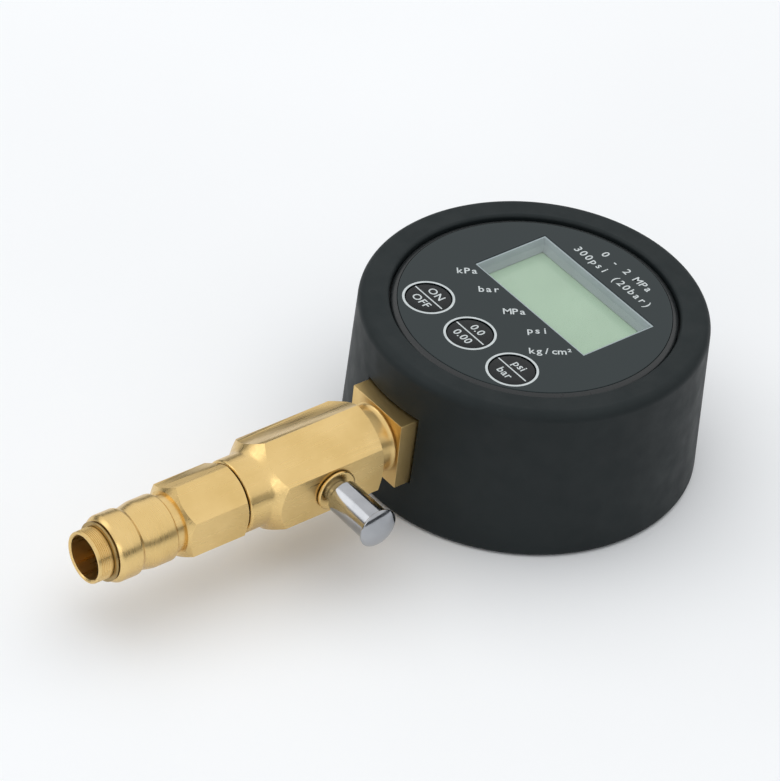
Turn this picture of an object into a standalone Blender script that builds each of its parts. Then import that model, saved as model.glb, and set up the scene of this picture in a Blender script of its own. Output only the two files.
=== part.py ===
"""Digital compression gauge with its brass body, bleed valve and quick coupler.

Frame: metres, +Z up out of the dial, +Y towards the top of the dial, the stem runs along -Y.
The origin is the middle of the boot's back face. Stations along the stem are distances from
the dial's axis, counted towards the coupler's mouth.
"""
import math

import bmesh
import bpy
from mathutils import Matrix, Vector

# Clearances
FIT = 0.0003            # gap between two pieces that seat on each other
SLIDE = 0.00025         # running gap of a sliding piece
LID = 0.0003            # gap round the bezel, panel and window

# Rubber boot
BOOT_RADIUS = 0.0400    # at the rim
BOOT_HEIGHT = 0.0400
SPREAD = BOOT_RADIUS / 0.0400   # sizes across the head follow the boot's radius
RISE = BOOT_HEIGHT / 0.0400     # sizes along the dial's axis follow the boot's height
BOOT_FLARE = 0.0010 * SPREAD    # extra radius at the base
BOOT_WALL = 0.0028 * SPREAD
BOOT_BACK = 0.0023 * RISE
BOOT_LIP = 0.0026 * RISE
BOOT_RIM_ROUND = 0.0024 * SPREAD
BOOT_LIP_ROUND = 0.0007
BOOT_BASE_ROUND = 0.0015

# Case, bezel and rear cover
CASE_WALL = 0.0020 * SPREAD
SHELF_REACH = 0.0039 * SPREAD    # shelf that carries the board
SHELF_THICKNESS = 0.0023 * RISE
SHOULDER_REACH = 0.0049 * SPREAD    # shoulder that the rear cover is screwed to
SHOULDER_THICKNESS = 0.0030 * RISE
BEZEL_FLANGE = 0.0021 * RISE
BEZEL_SPIGOT = 0.0020 * RISE
BEZEL_RIM = 0.0015 * SPREAD    # width of the sloping ring round the face
BEZEL_SLOPE = 0.0008 * RISE    # how far that ring falls
BEZEL_LEDGE = 0.0004    # ledge under the panel's edge
COVER_THICKNESS = 0.0022 * RISE

# Face panel and display
FACE_RADIUS = 0.0310 * SPREAD
FACE_DROP = 0.0005      # face below the boot's rim
FACE_THICKNESS = 0.0012 * RISE
WINDOW_WIDTH = 0.0392 * SPREAD
WINDOW_HEIGHT = 0.0206 * SPREAD
WINDOW_X = 0.0003 * SPREAD
WINDOW_Y = 0.0082 * SPREAD
DISPLAY_DEPTH = 0.0036 * RISE    # top of the display below the face
DISPLAY_THICKNESS = 0.0026 * RISE
DISPLAY_MARGIN = 0.0006 * SPREAD    # display past the window, each side
FRAME_LIP = 0.0006 * SPREAD    # light rim that shows inside the window
FRAME_WALL = 0.0007 * SPREAD
BACKLIGHT_THICKNESS = 0.0015 * RISE
BOARD_THICKNESS = 0.0016 * RISE

# Keys
KEY_RADIUS = 0.00515 * SPREAD
KEY_X = 0.0003 * SPREAD
KEY_Y = -0.0190 * SPREAD
KEY_PITCH = 0.0151 * SPREAD
KEY_TRAVEL = 0.0005
KEY_FLANGE = 0.0006     # height of the key's hidden flange, and its reach past the cap
KEY_STEM_RADIUS = 0.0016 * SPREAD
SWITCH_SIDE = 0.0060 * SPREAD
SWITCH_HEIGHT = 0.0035 * RISE
SWITCH_PLUNGER = 0.0010 * RISE

# Battery bay
CELL_RADIUS = 0.00525 * min(SPREAD, RISE)
CELL_LENGTH = 0.0445 * SPREAD
CELL_NUB_RADIUS = 0.0019
CELL_NUB = 0.0010
CELL_SPACING = 0.0112 * SPREAD
BAY_LENGTH = 0.0510 * SPREAD
BAY_WIDTH = 0.0230 * SPREAD
BAY_WALL = 0.0012 * min(SPREAD, RISE)
DOOR_THICKNESS = 0.0016 * RISE
DOOR_LEDGE = 0.0010 * SPREAD
DOOR_TAB_WIDTH = 0.0080 * SPREAD
DOOR_TAB_REACH = 0.0048 * SPREAD
CONTACT_THICKNESS = 0.0004
CONTACT_TAB = 0.0020 * RISE
SPRING_WIRE = 0.0006

# Small screws
SCREW_RADIUS = 0.0010 * SPREAD
SCREW_HEAD_RADIUS = 0.0016 * SPREAD
SCREW_HEAD = 0.0009 * RISE
BOARD_SCREW_LENGTH = 0.0036 * RISE
COVER_SCREW_LENGTH = 0.0046 * RISE
DOOR_SCREW_LENGTH = 0.0046 * RISE

# Large hexagon, which the widths of the socket's thread and the valve body follow
HEX_FLATS = 0.0200
GIRTH = HEX_FLATS / 0.0200

# Socket: square block, shank, neck and thread
AXIS_HEIGHT = BOOT_HEIGHT / 2    # stem's axis above the boot's back face
BLOCK_SIDE = 0.0210 * RISE
BLOCK_LENGTH = 0.0071
BLOCK_ROUND = 0.0009
PAD_SIDE = BLOCK_SIDE - 2 * FIT    # width of the case's flat pad behind the block
PAD_DEPTH = 0.0044 * SPREAD
SHANK_RADIUS = 0.0060 * RISE
SHANK_LENGTH = 0.0133 * SPREAD
NECK_RADIUS = 0.0075 * GIRTH
NECK_LENGTH = 0.0038
SOCKET_THREAD_RADIUS = 0.0060 * GIRTH
SOCKET_THREAD_LENGTH = 0.0100 * GIRTH
GAS_BORE = 0.0015 * GIRTH
NUT_FLATS = 0.0170 * RISE
NUT_LENGTH = 0.0040 * SPREAD
SENSOR_RADIUS = 0.0060 * RISE
SENSOR_LENGTH = 0.0105 * SPREAD
SENSOR_STUD_RADIUS = 0.0030 * RISE
SENSOR_STUD = 0.0042 * SPREAD
LEAD_RADIUS = 0.0008
ORING_WIRE = 0.0006 * GIRTH

# Valve body: large hexagon and collar
HEX_LENGTH = 0.0267     # face to the end of the full corners
HEX_FACE_RADIUS = 0.0096 * GIRTH
HEX_CHAMFER = 0.0011 * GIRTH
HEX_RUNOUT = 0.0030
COLLAR_RADIUS = 0.0086 * GIRTH
COLLAR_LENGTH = 0.0058
COLLAR_ROUND = 0.0007

# Bleed valve, square to the stem, pointing along +X
VALVE_PLACE = 0.0137 * GIRTH    # from the large hexagon's face
SEAT_FLANGE_RADIUS = 0.0050
SEAT_FLANGE = 0.0016
SEAT_THREAD_RADIUS = 0.0030
SEAT_THREAD = 0.0057 * GIRTH
SEAT_GUIDE_RADIUS = 0.0029
SEAT_GUIDE = 0.0051
BUTTON_RADIUS = 0.00405
BUTTON_WALL = 0.0009
BUTTON_TRAVEL = 0.0015
BUTTON_BARREL = 0.0113
BUTTON_HEAD_RADIUS = 0.0048
BUTTON_HEAD = 0.0019
PIN_RADIUS = 0.0008
PIN_SEATING = 0.0008    # how far the pin enters the head and the disc
DISC_RADIUS = 0.0023
DISC_THICKNESS = 0.0018
BLEED_WIRE = 0.0004
BLEED_TURNS = 4.0

# Quick coupler
COUPLER_FLATS = 0.0160
GAUGE = COUPLER_FLATS / 0.0160  # the coupler's other widths follow its hexagon
COUPLER_FACE_RADIUS = 0.0080 * GAUGE
COUPLER_CHAMFER = 0.0008 * GAUGE
COUPLER_HEX = 0.0153    # face to the end of the full corners
COUPLER_RUNOUT = 0.0007
COUPLER_THREAD_RADIUS = 0.0050 * GAUGE
COUPLER_THREAD = 0.0085
LAND_RADIUS = 0.0067 * GAUGE    # step of the barrel that shows between hexagon and sleeve
LAND_LENGTH = 0.0050
BARREL_RADIUS = 0.0060 * GAUGE
MOUTH_RADIUS = 0.00515 * GAUGE
MOUTH_DEPTH = 0.0153
NOSE_LENGTH = 0.0038    # barrel past the retaining ring
NOSE_ROUND = 0.0003
SLEEVE_RADIUS = 0.0078 * GAUGE
SLEEVE_LENGTH = 0.0153
SLEEVE_TRAVEL = 0.0020
SLEEVE_STOP = 0.0004    # what is left between sleeve and hexagon when it is drawn back
RING_WIDTH = 0.0049     # each raised ring of the sleeve
GROOVE_DEPTH = 0.0004 * GAUGE
GROOVE_SLOPE = 0.0005
SLEEVE_CHAMBER_WALL = 0.00085 * GAUGE
SLEEVE_REAR_ROUND = 0.0004
SLEEVE_FRONT_CHAMFER = 0.0010
SLEEVE_FRONT_RADIUS = 0.0070 * GAUGE
SLEEVE_LIP = 0.0012
COUPLER_WIRE = 0.0005 * GAUGE
COUPLER_TURNS = 3.5
BALL_RADIUS = 0.0010 * GAUGE
BALL_ORBIT = 0.00505 * GAUGE
BALL_LIFT = 0.0008 * GAUGE    # how far a ball moves out while the sleeve is drawn back
BALL_SETBACK = 0.0045   # ball behind the sleeve's front
BALL_COUNT = 4
SNAP_THICKNESS = 0.0006
SNAP_RADIUS = 0.0069 * GAUGE
SNAP_GROOVE = 0.0004 * GAUGE
SNAP_OPENING = 0.0040 * GAUGE
SEAL_RADIUS = 0.0040 * GAUGE
SEAL_WIRE = 0.00085 * GAUGE

# Facets
FINE = 40
BARREL = 24
MEDIUM = 20
SMALL = 10
BEVEL_STEPS = 2
SMOOTH_ANGLE = math.radians(35)

# Levels worked out from the sizes
CASE_RADIUS = BOOT_RADIUS - BOOT_WALL - FIT
CASE_BORE = CASE_RADIUS - CASE_WALL
CASE_BASE = BOOT_BACK + FIT
BEZEL_TOP = BOOT_HEIGHT - BOOT_LIP - FIT
BEZEL_SEAT = BEZEL_TOP - BEZEL_FLANGE
CASE_TOP = BEZEL_SEAT - FIT
BEZEL_BOTTOM = BEZEL_SEAT - BEZEL_SPIGOT
FACE_TOP = BOOT_HEIGHT - FACE_DROP
FACE_BOTTOM = FACE_TOP - FACE_THICKNESS
LEDGE_TOP = FACE_BOTTOM - FIT
PANEL_BORE = FACE_RADIUS + SLIDE
BEZEL_RIM_RADIUS = PANEL_BORE + BEZEL_RIM
BOOT_OPENING = BEZEL_RIM_RADIUS + LID
LEDGE_RADIUS = FACE_RADIUS - BEZEL_LEDGE
DISPLAY_TOP = FACE_TOP - DISPLAY_DEPTH
DISPLAY_BOTTOM = DISPLAY_TOP - DISPLAY_THICKNESS
BACKLIGHT_TOP = DISPLAY_BOTTOM - FIT
BACKLIGHT_BOTTOM = BACKLIGHT_TOP - BACKLIGHT_THICKNESS
BOARD_TOP = BACKLIGHT_BOTTOM - FIT
BOARD_BOTTOM = BOARD_TOP - BOARD_THICKNESS
SHELF_TOP = BOARD_BOTTOM - FIT
SHELF_RADIUS = CASE_BORE - SHELF_REACH
SHOULDER_RADIUS = CASE_BORE - SHOULDER_REACH
COVER_TOP = CASE_BASE + COVER_THICKNESS
SHOULDER_BOTTOM = COVER_TOP + FIT
SHOULDER_TOP = SHOULDER_BOTTOM + SHOULDER_THICKNESS
DOOR_TOP = CASE_BASE + DOOR_THICKNESS
DOOR_SEAT = DOOR_TOP + FIT
CELL_HEIGHT = DOOR_TOP + FIT + CELL_RADIUS
BAY_CEILING = CELL_HEIGHT + CELL_RADIUS + FIT
BAY_TOP = BAY_CEILING + BAY_WALL
SWITCH_BOTTOM = BOARD_TOP + FIT
SWITCH_TOP = SWITCH_BOTTOM + SWITCH_HEIGHT + SWITCH_PLUNGER
WINDOW_CENTRE = (WINDOW_X, WINDOW_Y)
DISPLAY_LENGTH = WINDOW_WIDTH + 2 * DISPLAY_MARGIN
DISPLAY_WIDTH = WINDOW_HEIGHT + 2 * DISPLAY_MARGIN

# Stations worked out from the sizes
PAD_FRONT = CASE_RADIUS + 0.0001
BLOCK_BACK = PAD_FRONT + FIT
BLOCK_FRONT = BLOCK_BACK + BLOCK_LENGTH
NECK_FRONT = BLOCK_FRONT + NECK_LENGTH
SHANK_END = BLOCK_BACK - SHANK_LENGTH
PAD_BACK = PAD_FRONT - PAD_DEPTH
NUT_FRONT = PAD_BACK - FIT
HEX_START = NECK_FRONT + FIT
CORNERS_END = HEX_START + HEX_LENGTH
COLLAR_START = CORNERS_END + HEX_RUNOUT
VALVE_STATION = HEX_START + VALVE_PLACE
COLLAR_END = COLLAR_START + COLLAR_LENGTH
COUPLER_START = COLLAR_END + FIT
COUPLER_CORNERS_END = COUPLER_START + COUPLER_HEX
LAND_START = COUPLER_CORNERS_END + COUPLER_RUNOUT
LAND_END = LAND_START + LAND_LENGTH
SLEEVE_START = LAND_START + SLEEVE_TRAVEL + SLEEVE_STOP
SLEEVE_END = SLEEVE_START + SLEEVE_LENGTH
SNAP_START = SLEEVE_END + FIT
SNAP_END = SNAP_START + SNAP_THICKNESS
NOSE_END = SNAP_END + NOSE_LENGTH
MOUTH_FLOOR = NOSE_END - MOUTH_DEPTH
BALL_STATION = SLEEVE_END - BALL_SETBACK
SLEEVE_CHAMBER = SLEEVE_RADIUS - SLEEVE_CHAMBER_WALL
SLEEVE_LAND = BALL_ORBIT + BALL_RADIUS + FIT
CHAMBER_END = BALL_STATION - BALL_RADIUS - 3 * FIT


def clear_scene():
    """Remove every object that the file opens with."""
    for item in list(bpy.data.objects):
        bpy.data.objects.remove(item)


def collection(name):
    made = bpy.data.collections.new(name)
    bpy.context.scene.collection.children.link(made)
    return made


clear_scene()
PART = collection("compression_gauge")
CUTTERS = collection("cutters")

ALONG_STEM = Matrix.Rotation(math.radians(90), 4, "X")     # local +Z becomes -Y
ALONG_VALVE = Matrix.Rotation(math.radians(90), 4, "Y")    # local +Z becomes +X
UPRIGHT = Matrix.Identity(4)


def material(name, colour, roughness, metallic=0.0, transmission=0.0):
    made = bpy.data.materials.new(name)
    made.use_nodes = True
    shader = made.node_tree.nodes["Principled BSDF"]
    shader.inputs["Base Color"].default_value = (*colour, 1.0)
    shader.inputs["Roughness"].default_value = roughness
    shader.inputs["Metallic"].default_value = metallic
    shader.inputs["Transmission Weight"].default_value = transmission
    made.diffuse_color = (*colour, 1.0)
    return made


RUBBER = material("charcoal_rubber", (0.035, 0.040, 0.044), 0.60)
CASE_PLASTIC = material("black_case_plastic", (0.020, 0.020, 0.022), 0.45)
BEZEL_PLASTIC = material("black_bezel_plastic", (0.012, 0.014, 0.015), 0.35)
GLOSS_PANEL = material("glossy_dark_panel", (0.010, 0.013, 0.014), 0.08)
KEY_PLASTIC = material("dark_key_plastic", (0.012, 0.015, 0.016), 0.15)
CLEAR = material("clear_window", (0.95, 0.97, 0.96), 0.03, 0.0, 1.0)
FRAME_PLASTIC = material("pale_frame_plastic", (0.46, 0.52, 0.52), 0.50)
DISPLAY_GLASS = material("pale_display_glass", (0.40, 0.52, 0.42), 0.15)
DIFFUSER = material("white_diffuser", (0.80, 0.82, 0.80), 0.40)
BOARD = material("green_circuit_board", (0.02, 0.14, 0.05), 0.45)
SWITCH_METAL = material("switch_tin", (0.55, 0.55, 0.53), 0.40, 1.0)
CELL_WRAP = material("battery_wrap", (0.10, 0.11, 0.13), 0.35)
STEEL = material("zinc_steel", (0.62, 0.63, 0.62), 0.30, 1.0)
CHROME = material("polished_chrome", (0.70, 0.72, 0.73), 0.12, 1.0)
BRASS = material("machined_brass", (0.78, 0.58, 0.26), 0.28, 1.0)
SEAL_RUBBER = material("black_seal_rubber", (0.015, 0.015, 0.015), 0.70)
LEAD_SHEATH = material("red_lead_sheath", (0.35, 0.02, 0.02), 0.50)


def add_object(name, mesh, home, finish=None):
    """Link a mesh as an object; anything outside the part is a hidden cutter."""
    made = bpy.data.objects.new(name, mesh)
    home.objects.link(made)
    if finish:
        mesh.materials.append(finish)
    if home is CUTTERS:
        made.hide_render = True
        made.display_type = "WIRE"
    return made


def soften(piece):
    """Shade a round piece smooth and keep its edges sharp."""
    piece.data.shade_smooth()
    piece.data.set_sharp_from_angle(angle=SMOOTH_ANGLE)
    return piece


def turned(name, profile, finish=None, turn=UPRIGHT, centre=(0, 0, 0), steps=MEDIUM, home=None):
    """Revolve (radius, height) points, given from top to bottom on the outer side.

    A profile that neither starts nor ends on the axis is closed into a ring.
    """
    mesh = bpy.data.meshes.new(name)
    points = [(radius, 0.0, height) for radius, height in profile]
    edges = [(i, i + 1) for i in range(len(points) - 1)]
    if profile[0][0] > 0 and profile[-1][0] > 0:
        edges.append((len(points) - 1, 0))
    mesh.from_pydata(points, edges, [])
    piece = add_object(name, mesh, home or (PART if finish else CUTTERS), finish)
    piece.matrix_world = Matrix.Translation(centre) @ turn
    screw = piece.modifiers.new("Revolve", "SCREW")
    screw.axis = "Z"
    screw.steps = steps
    screw.render_steps = steps
    screw.use_merge_vertices = True
    screw.merge_threshold = 0.00001
    screw.use_smooth_shade = False
    return piece


def finished(build):
    """Turn a bmesh into a mesh with its faces pointing out."""
    mesh = bpy.data.meshes.new("shape")
    bmesh.ops.recalc_face_normals(build, faces=build.faces)
    build.to_mesh(mesh)
    build.free()
    return mesh


def block(name, size, centre, finish=None, rounding=0.0, home=None):
    """A box of the given size about its centre, with rounded edges where asked."""
    build = bmesh.new()
    bmesh.ops.create_cube(build, size=1.0, matrix=Matrix.Diagonal((*size, 1.0)))
    piece = add_object(name, finished(build), home or (PART if finish else CUTTERS), finish)
    piece.location = centre
    if rounding:
        bevel = piece.modifiers.new("Rounded edges", "BEVEL")
        bevel.width = rounding
        bevel.segments = BEVEL_STEPS
        bevel.limit_method = "ANGLE"
    return piece


def rod(name, radius, length, base, turn=UPRIGHT, finish=None, sides=SMALL, home=None):
    """A cylinder that starts at base and runs along the turned +Z."""
    build = bmesh.new()
    shift = Matrix.Translation((0, 0, length / 2))
    bmesh.ops.create_cone(build, cap_ends=True, segments=sides, radius1=radius, radius2=radius,
                          depth=length, matrix=shift)
    piece = add_object(name, finished(build), home or (PART if finish else CUTTERS), finish)
    piece.matrix_world = Matrix.Translation(base) @ turn
    return piece


def hexagon_mask(name, flats, start, length):
    """A thick hexagonal tube along the stem that mills six flats onto a turned blank."""
    build = bmesh.new()
    shift = Matrix.Translation((0, 0, length / 2))
    radius = flats / math.sqrt(3)
    bmesh.ops.create_cone(build, cap_ends=False, segments=6, radius1=radius, radius2=radius,
                          depth=length, matrix=shift)
    mesh = bpy.data.meshes.new(name)
    build.to_mesh(mesh)
    build.free()
    tube = add_object(name, mesh, CUTTERS)
    tube.matrix_world = Matrix.Translation((0, -start, AXIS_HEIGHT)) @ ALONG_STEM
    shell = tube.modifiers.new("Thick", "SOLIDIFY")
    shell.thickness = flats / 2
    shell.offset = 1.0
    shell.use_even_offset = True
    return tube


def rounded_rectangle(width, height, rounding, middle, steps=4):
    """Outline points of a rectangle with round corners, anticlockwise."""
    points = []
    for quarter in range(4):
        side_x = (1, -1, -1, 1)[quarter]
        side_y = (1, 1, -1, -1)[quarter]
        corner_x = middle[0] + side_x * (width / 2 - rounding)
        corner_y = middle[1] + side_y * (height / 2 - rounding)
        for i in range(steps + 1):
            angle = math.radians(90) * (quarter + i / steps)
            points.append((corner_x + rounding * math.cos(angle), corner_y + rounding * math.sin(angle)))
    return points


def mesh_of(curve_object):
    """Swap a curve object for the closed mesh that it shows."""
    graph = bpy.context.evaluated_depsgraph_get()
    mesh = bpy.data.meshes.new_from_object(curve_object.evaluated_get(graph))
    build = bmesh.new()
    build.from_mesh(mesh)
    bmesh.ops.remove_doubles(build, verts=build.verts, dist=0.000001)
    bmesh.ops.recalc_face_normals(build, faces=build.faces)
    build.to_mesh(mesh)
    build.free()
    mesh.materials.clear()
    bpy.data.objects.remove(curve_object)
    return mesh


def plate(name, outline, bottom, top, finish=None):
    """A flat outline in the dial's plane, made thick between two levels."""
    curve = bpy.data.curves.new(name, "CURVE")
    curve.dimensions = "2D"
    curve.fill_mode = "BOTH"
    curve.extrude = (top - bottom) / 2
    spline = curve.splines.new("POLY")
    spline.points.add(len(outline) - 1)
    for point, (x, y) in zip(spline.points, outline):
        point.co = (x, y, 0, 1)
    spline.use_cyclic_u = True
    guide = bpy.data.objects.new(name + "_outline", curve)
    CUTTERS.objects.link(guide)
    piece = add_object(name, mesh_of(guide), PART if finish else CUTTERS, finish)
    piece.location.z = (top + bottom) / 2
    return piece


def wire(name, points, radius, finish, cyclic=False, sides=2):
    """A round wire along the points."""
    curve = bpy.data.curves.new(name, "CURVE")
    curve.dimensions = "3D"
    curve.bevel_depth = radius
    curve.bevel_resolution = sides
    curve.use_fill_caps = not cyclic
    spline = curve.splines.new("POLY")
    spline.points.add(len(points) - 1)
    for point, place in zip(spline.points, points):
        point.co = (*place, 1)
    spline.use_cyclic_u = cyclic
    guide = bpy.data.objects.new(name + "_path", curve)
    CUTTERS.objects.link(guide)
    return soften(add_object(name, mesh_of(guide), PART, finish))


def helix(radius, end_radius, turns, length, per_turn=12):
    """Points of a coil about +Z from height 0 to its length."""
    count = int(round(turns * per_turn))
    points = []
    for i in range(count + 1):
        share = i / count
        angle = 2 * math.pi * turns * share
        reach = radius + (end_radius - radius) * share
        points.append(Vector((reach * math.cos(angle), reach * math.sin(angle), length * share)))
    return points


def ring_points(radius, count):
    return [Vector((radius * math.cos(2 * math.pi * i / count), radius * math.sin(2 * math.pi * i / count), 0))
            for i in range(count)]


def placed(points, turn, centre):
    """Points turned and moved into the world."""
    frame = Matrix.Translation(centre) @ turn
    return [frame @ point for point in points]


def boolean(piece, tool, operation):
    change = piece.modifiers.new(tool.name, "BOOLEAN")
    change.operation = operation
    change.solver = "EXACT"
    change.object = tool
    return piece


def cut(piece, *tools):
    for tool in tools:
        boolean(piece, tool, "DIFFERENCE")
    return piece


def join(piece, *tools):
    for tool in tools:
        boolean(piece, tool, "UNION")
    return piece


def arc(centre_radius, centre_height, radius, first, last, steps=4):
    """Profile points on an arc; angles in degrees from +radius towards +height."""
    points = []
    for i in range(steps + 1):
        angle = math.radians(first + (last - first) * i / steps)
        points.append((centre_radius + radius * math.cos(angle), centre_height + radius * math.sin(angle)))
    return points


def stem_turned(name, stations, finish=None, steps=MEDIUM):
    """Revolve (radius, station) points about the stem; stations rise towards the mouth."""
    return turned(name, stations, finish, ALONG_STEM, (0, 0, AXIS_HEIGHT), steps)


def stem_rod(name, radius, start, end, finish=None, sides=SMALL):
    return rod(name, radius, end - start, (0, -start, AXIS_HEIGHT), ALONG_STEM, finish, sides)


def valve_turned(name, profile, finish=None, steps=MEDIUM):
    """Revolve (radius, reach) points about the bleed valve; reach runs along +X."""
    return turned(name, profile, finish, ALONG_VALVE, (0, -VALVE_STATION, AXIS_HEIGHT), steps)


def round_about(count, radius, first_degrees):
    """Places on a circle about the dial's axis."""
    places = []
    for i in range(count):
        angle = math.radians(first_degrees + 360 * i / count)
        places.append((radius * math.cos(angle), radius * math.sin(angle)))
    return places


def rubber_boot():
    """Thick cup that hugs the case, with a lip over the bezel and a window for the block."""
    bore = CASE_RADIUS + FIT
    lip_bottom = BOOT_HEIGHT - BOOT_LIP
    profile = [(0, BOOT_BACK), (bore, BOOT_BACK), (bore, lip_bottom), (BOOT_OPENING, lip_bottom)]
    profile += arc(BOOT_OPENING + BOOT_LIP_ROUND, BOOT_HEIGHT - BOOT_LIP_ROUND, BOOT_LIP_ROUND, 180, 90, 2)
    profile += arc(BOOT_RADIUS - BOOT_RIM_ROUND, BOOT_HEIGHT - BOOT_RIM_ROUND, BOOT_RIM_ROUND, 90, 0, 4)
    base = BOOT_RADIUS + BOOT_FLARE
    profile += arc(base - BOOT_BASE_ROUND, BOOT_BASE_ROUND, BOOT_BASE_ROUND, 0, -90, 2)
    profile.append((0, 0))
    boot = turned("rubber_boot", profile, RUBBER, steps=FINE)
    reach = BOOT_RADIUS + BOOT_FLARE
    side = BLOCK_SIDE + 2 * FIT
    window = block("block_window", (side, reach, side), (0, -reach, AXIS_HEIGHT))
    return cut(boot, window)


def gauge_case():
    """Round case wall with the board's shelf, the cover's shoulder and the flat pad."""
    profile = [(CASE_RADIUS, CASE_TOP), (CASE_RADIUS, CASE_BASE), (CASE_BORE, CASE_BASE),
               (CASE_BORE, SHOULDER_BOTTOM), (SHOULDER_RADIUS, SHOULDER_BOTTOM),
               (SHOULDER_RADIUS, SHOULDER_TOP), (CASE_BORE, SHOULDER_TOP),
               (CASE_BORE, SHELF_TOP - SHELF_THICKNESS), (SHELF_RADIUS, SHELF_TOP - SHELF_THICKNESS),
               (SHELF_RADIUS, SHELF_TOP), (CASE_BORE, SHELF_TOP), (CASE_BORE, CASE_TOP)]
    case = turned("gauge_case", profile, CASE_PLASTIC, steps=FINE)
    pad = block("socket_pad", (PAD_SIDE, PAD_DEPTH, 2 * (SHELF_TOP - AXIS_HEIGHT)),
                (0, -(PAD_FRONT + PAD_BACK) / 2, AXIS_HEIGHT))
    join(case, pad)
    nut_room = NUT_FLATS / math.sqrt(3) + FIT
    room = block("nut_room", (2 * nut_room, SHANK_LENGTH, 2 * nut_room),
                 (0, -PAD_BACK + SHANK_LENGTH / 2, AXIS_HEIGHT))
    hole = stem_rod("shank_hole", SHANK_RADIUS + FIT, PAD_BACK - NUT_LENGTH, BLOCK_FRONT, sides=MEDIUM)
    cut(case, room, hole)
    for index, (x, y) in enumerate(board_screw_places()):
        cut(case, rod(f"board_screw_hole_{index}", SCREW_RADIUS + SLIDE, 2 * SHELF_THICKNESS,
                      (x, y, SHELF_TOP - 1.5 * SHELF_THICKNESS)))
    for index, (x, y) in enumerate(cover_screw_places()):
        cut(case, rod(f"cover_screw_hole_{index}", SCREW_RADIUS + SLIDE, 2 * SHOULDER_THICKNESS,
                      (x, y, SHOULDER_BOTTOM - SHOULDER_THICKNESS / 2)))
    return case


def board_screw_places():
    return round_about(3, CASE_BORE - SHELF_REACH / 2, 90)


def cover_screw_places():
    return round_about(4, CASE_BORE - SHOULDER_REACH / 2, 45)


def bezel():
    """Ring that holds the panel: flange under the boot's lip, spigot in the case, sloping rim."""
    spigot = CASE_BORE - FIT
    profile = [(PANEL_BORE, FACE_TOP), (BEZEL_RIM_RADIUS, FACE_TOP - BEZEL_SLOPE),
               (BEZEL_RIM_RADIUS, BEZEL_TOP), (CASE_RADIUS, BEZEL_TOP), (CASE_RADIUS, BEZEL_SEAT),
               (spigot, BEZEL_SEAT), (spigot, BEZEL_BOTTOM), (LEDGE_RADIUS, BEZEL_BOTTOM),
               (LEDGE_RADIUS, LEDGE_TOP), (PANEL_BORE, LEDGE_TOP)]
    return turned("bezel", profile, BEZEL_PLASTIC, steps=FINE)


def key_places():
    return {"left": KEY_X - KEY_PITCH, "middle": KEY_X, "right": KEY_X + KEY_PITCH}


def face_panel():
    """Glossy disc with the display's window and the three key holes."""
    profile = [(0, FACE_TOP), (FACE_RADIUS, FACE_TOP), (FACE_RADIUS, FACE_BOTTOM), (0, FACE_BOTTOM)]
    panel = turned("face_panel", profile, GLOSS_PANEL, steps=FINE)
    outline = rounded_rectangle(WINDOW_WIDTH, WINDOW_HEIGHT, 0.0004, WINDOW_CENTRE, 2)
    cut(panel, plate("window_hole", outline, LEDGE_TOP - FIT, BOOT_HEIGHT))
    for name, x in key_places().items():
        cut(panel, rod(f"key_hole_{name}", KEY_RADIUS + SLIDE, 4 * FACE_THICKNESS,
                       (x, KEY_Y, FACE_BOTTOM - FACE_THICKNESS), sides=MEDIUM))
    return panel


def display():
    """Clear window, pale frame, display glass and backlight, stacked on the board."""
    lens = rounded_rectangle(WINDOW_WIDTH - 2 * LID, WINDOW_HEIGHT - 2 * LID, 0.0004, WINDOW_CENTRE, 2)
    plate("lcd_window", lens, FACE_BOTTOM, FACE_TOP, CLEAR)
    clear_length = DISPLAY_LENGTH + 2 * FIT
    clear_width = DISPLAY_WIDTH + 2 * FIT
    outer = rounded_rectangle(clear_length + 2 * FRAME_WALL, clear_width + 2 * FRAME_WALL,
                              0.0008, WINDOW_CENTRE, 2)
    frame = plate("lcd_frame", outer, BOARD_TOP + FIT, LEDGE_TOP, FRAME_PLASTIC)
    room = block("display_room", (clear_length, clear_width, 2 * (DISPLAY_TOP + FIT - BOARD_TOP)),
                 (*WINDOW_CENTRE, BOARD_TOP))
    view = block("display_view", (WINDOW_WIDTH - 2 * FRAME_LIP, WINDOW_HEIGHT - 2 * FRAME_LIP, BOOT_HEIGHT),
                 (*WINDOW_CENTRE, DISPLAY_TOP))
    cut(frame, room, view)
    glass_size = (DISPLAY_LENGTH, DISPLAY_WIDTH)
    block("lcd_glass", (*glass_size, DISPLAY_THICKNESS),
          (*WINDOW_CENTRE, (DISPLAY_TOP + DISPLAY_BOTTOM) / 2), DISPLAY_GLASS, 0.0002)
    block("lcd_backlight", (*glass_size, BACKLIGHT_THICKNESS),
          (*WINDOW_CENTRE, (BACKLIGHT_TOP + BACKLIGHT_BOTTOM) / 2), DIFFUSER, 0.0002)


def key(side, x):
    """Round key cap with a hidden flange that holds it in and a stem for its switch."""
    flange_top = FACE_BOTTOM - FIT
    flange_bottom = flange_top - KEY_FLANGE
    edge = 0.0002
    profile = [(0, FACE_TOP), (KEY_RADIUS - edge, FACE_TOP), (KEY_RADIUS, FACE_TOP - edge),
               (KEY_RADIUS, flange_top), (KEY_RADIUS + KEY_FLANGE, flange_top),
               (KEY_RADIUS + KEY_FLANGE, flange_bottom), (KEY_STEM_RADIUS, flange_bottom),
               (KEY_STEM_RADIUS, SWITCH_TOP + KEY_TRAVEL + 0.0001), (0, SWITCH_TOP + KEY_TRAVEL + 0.0001)]
    lowered = [(radius, height - FACE_TOP) for radius, height in profile]
    return turned(f"key_{side}", lowered, KEY_PLASTIC, centre=(x, KEY_Y, FACE_TOP), steps=MEDIUM)


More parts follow.
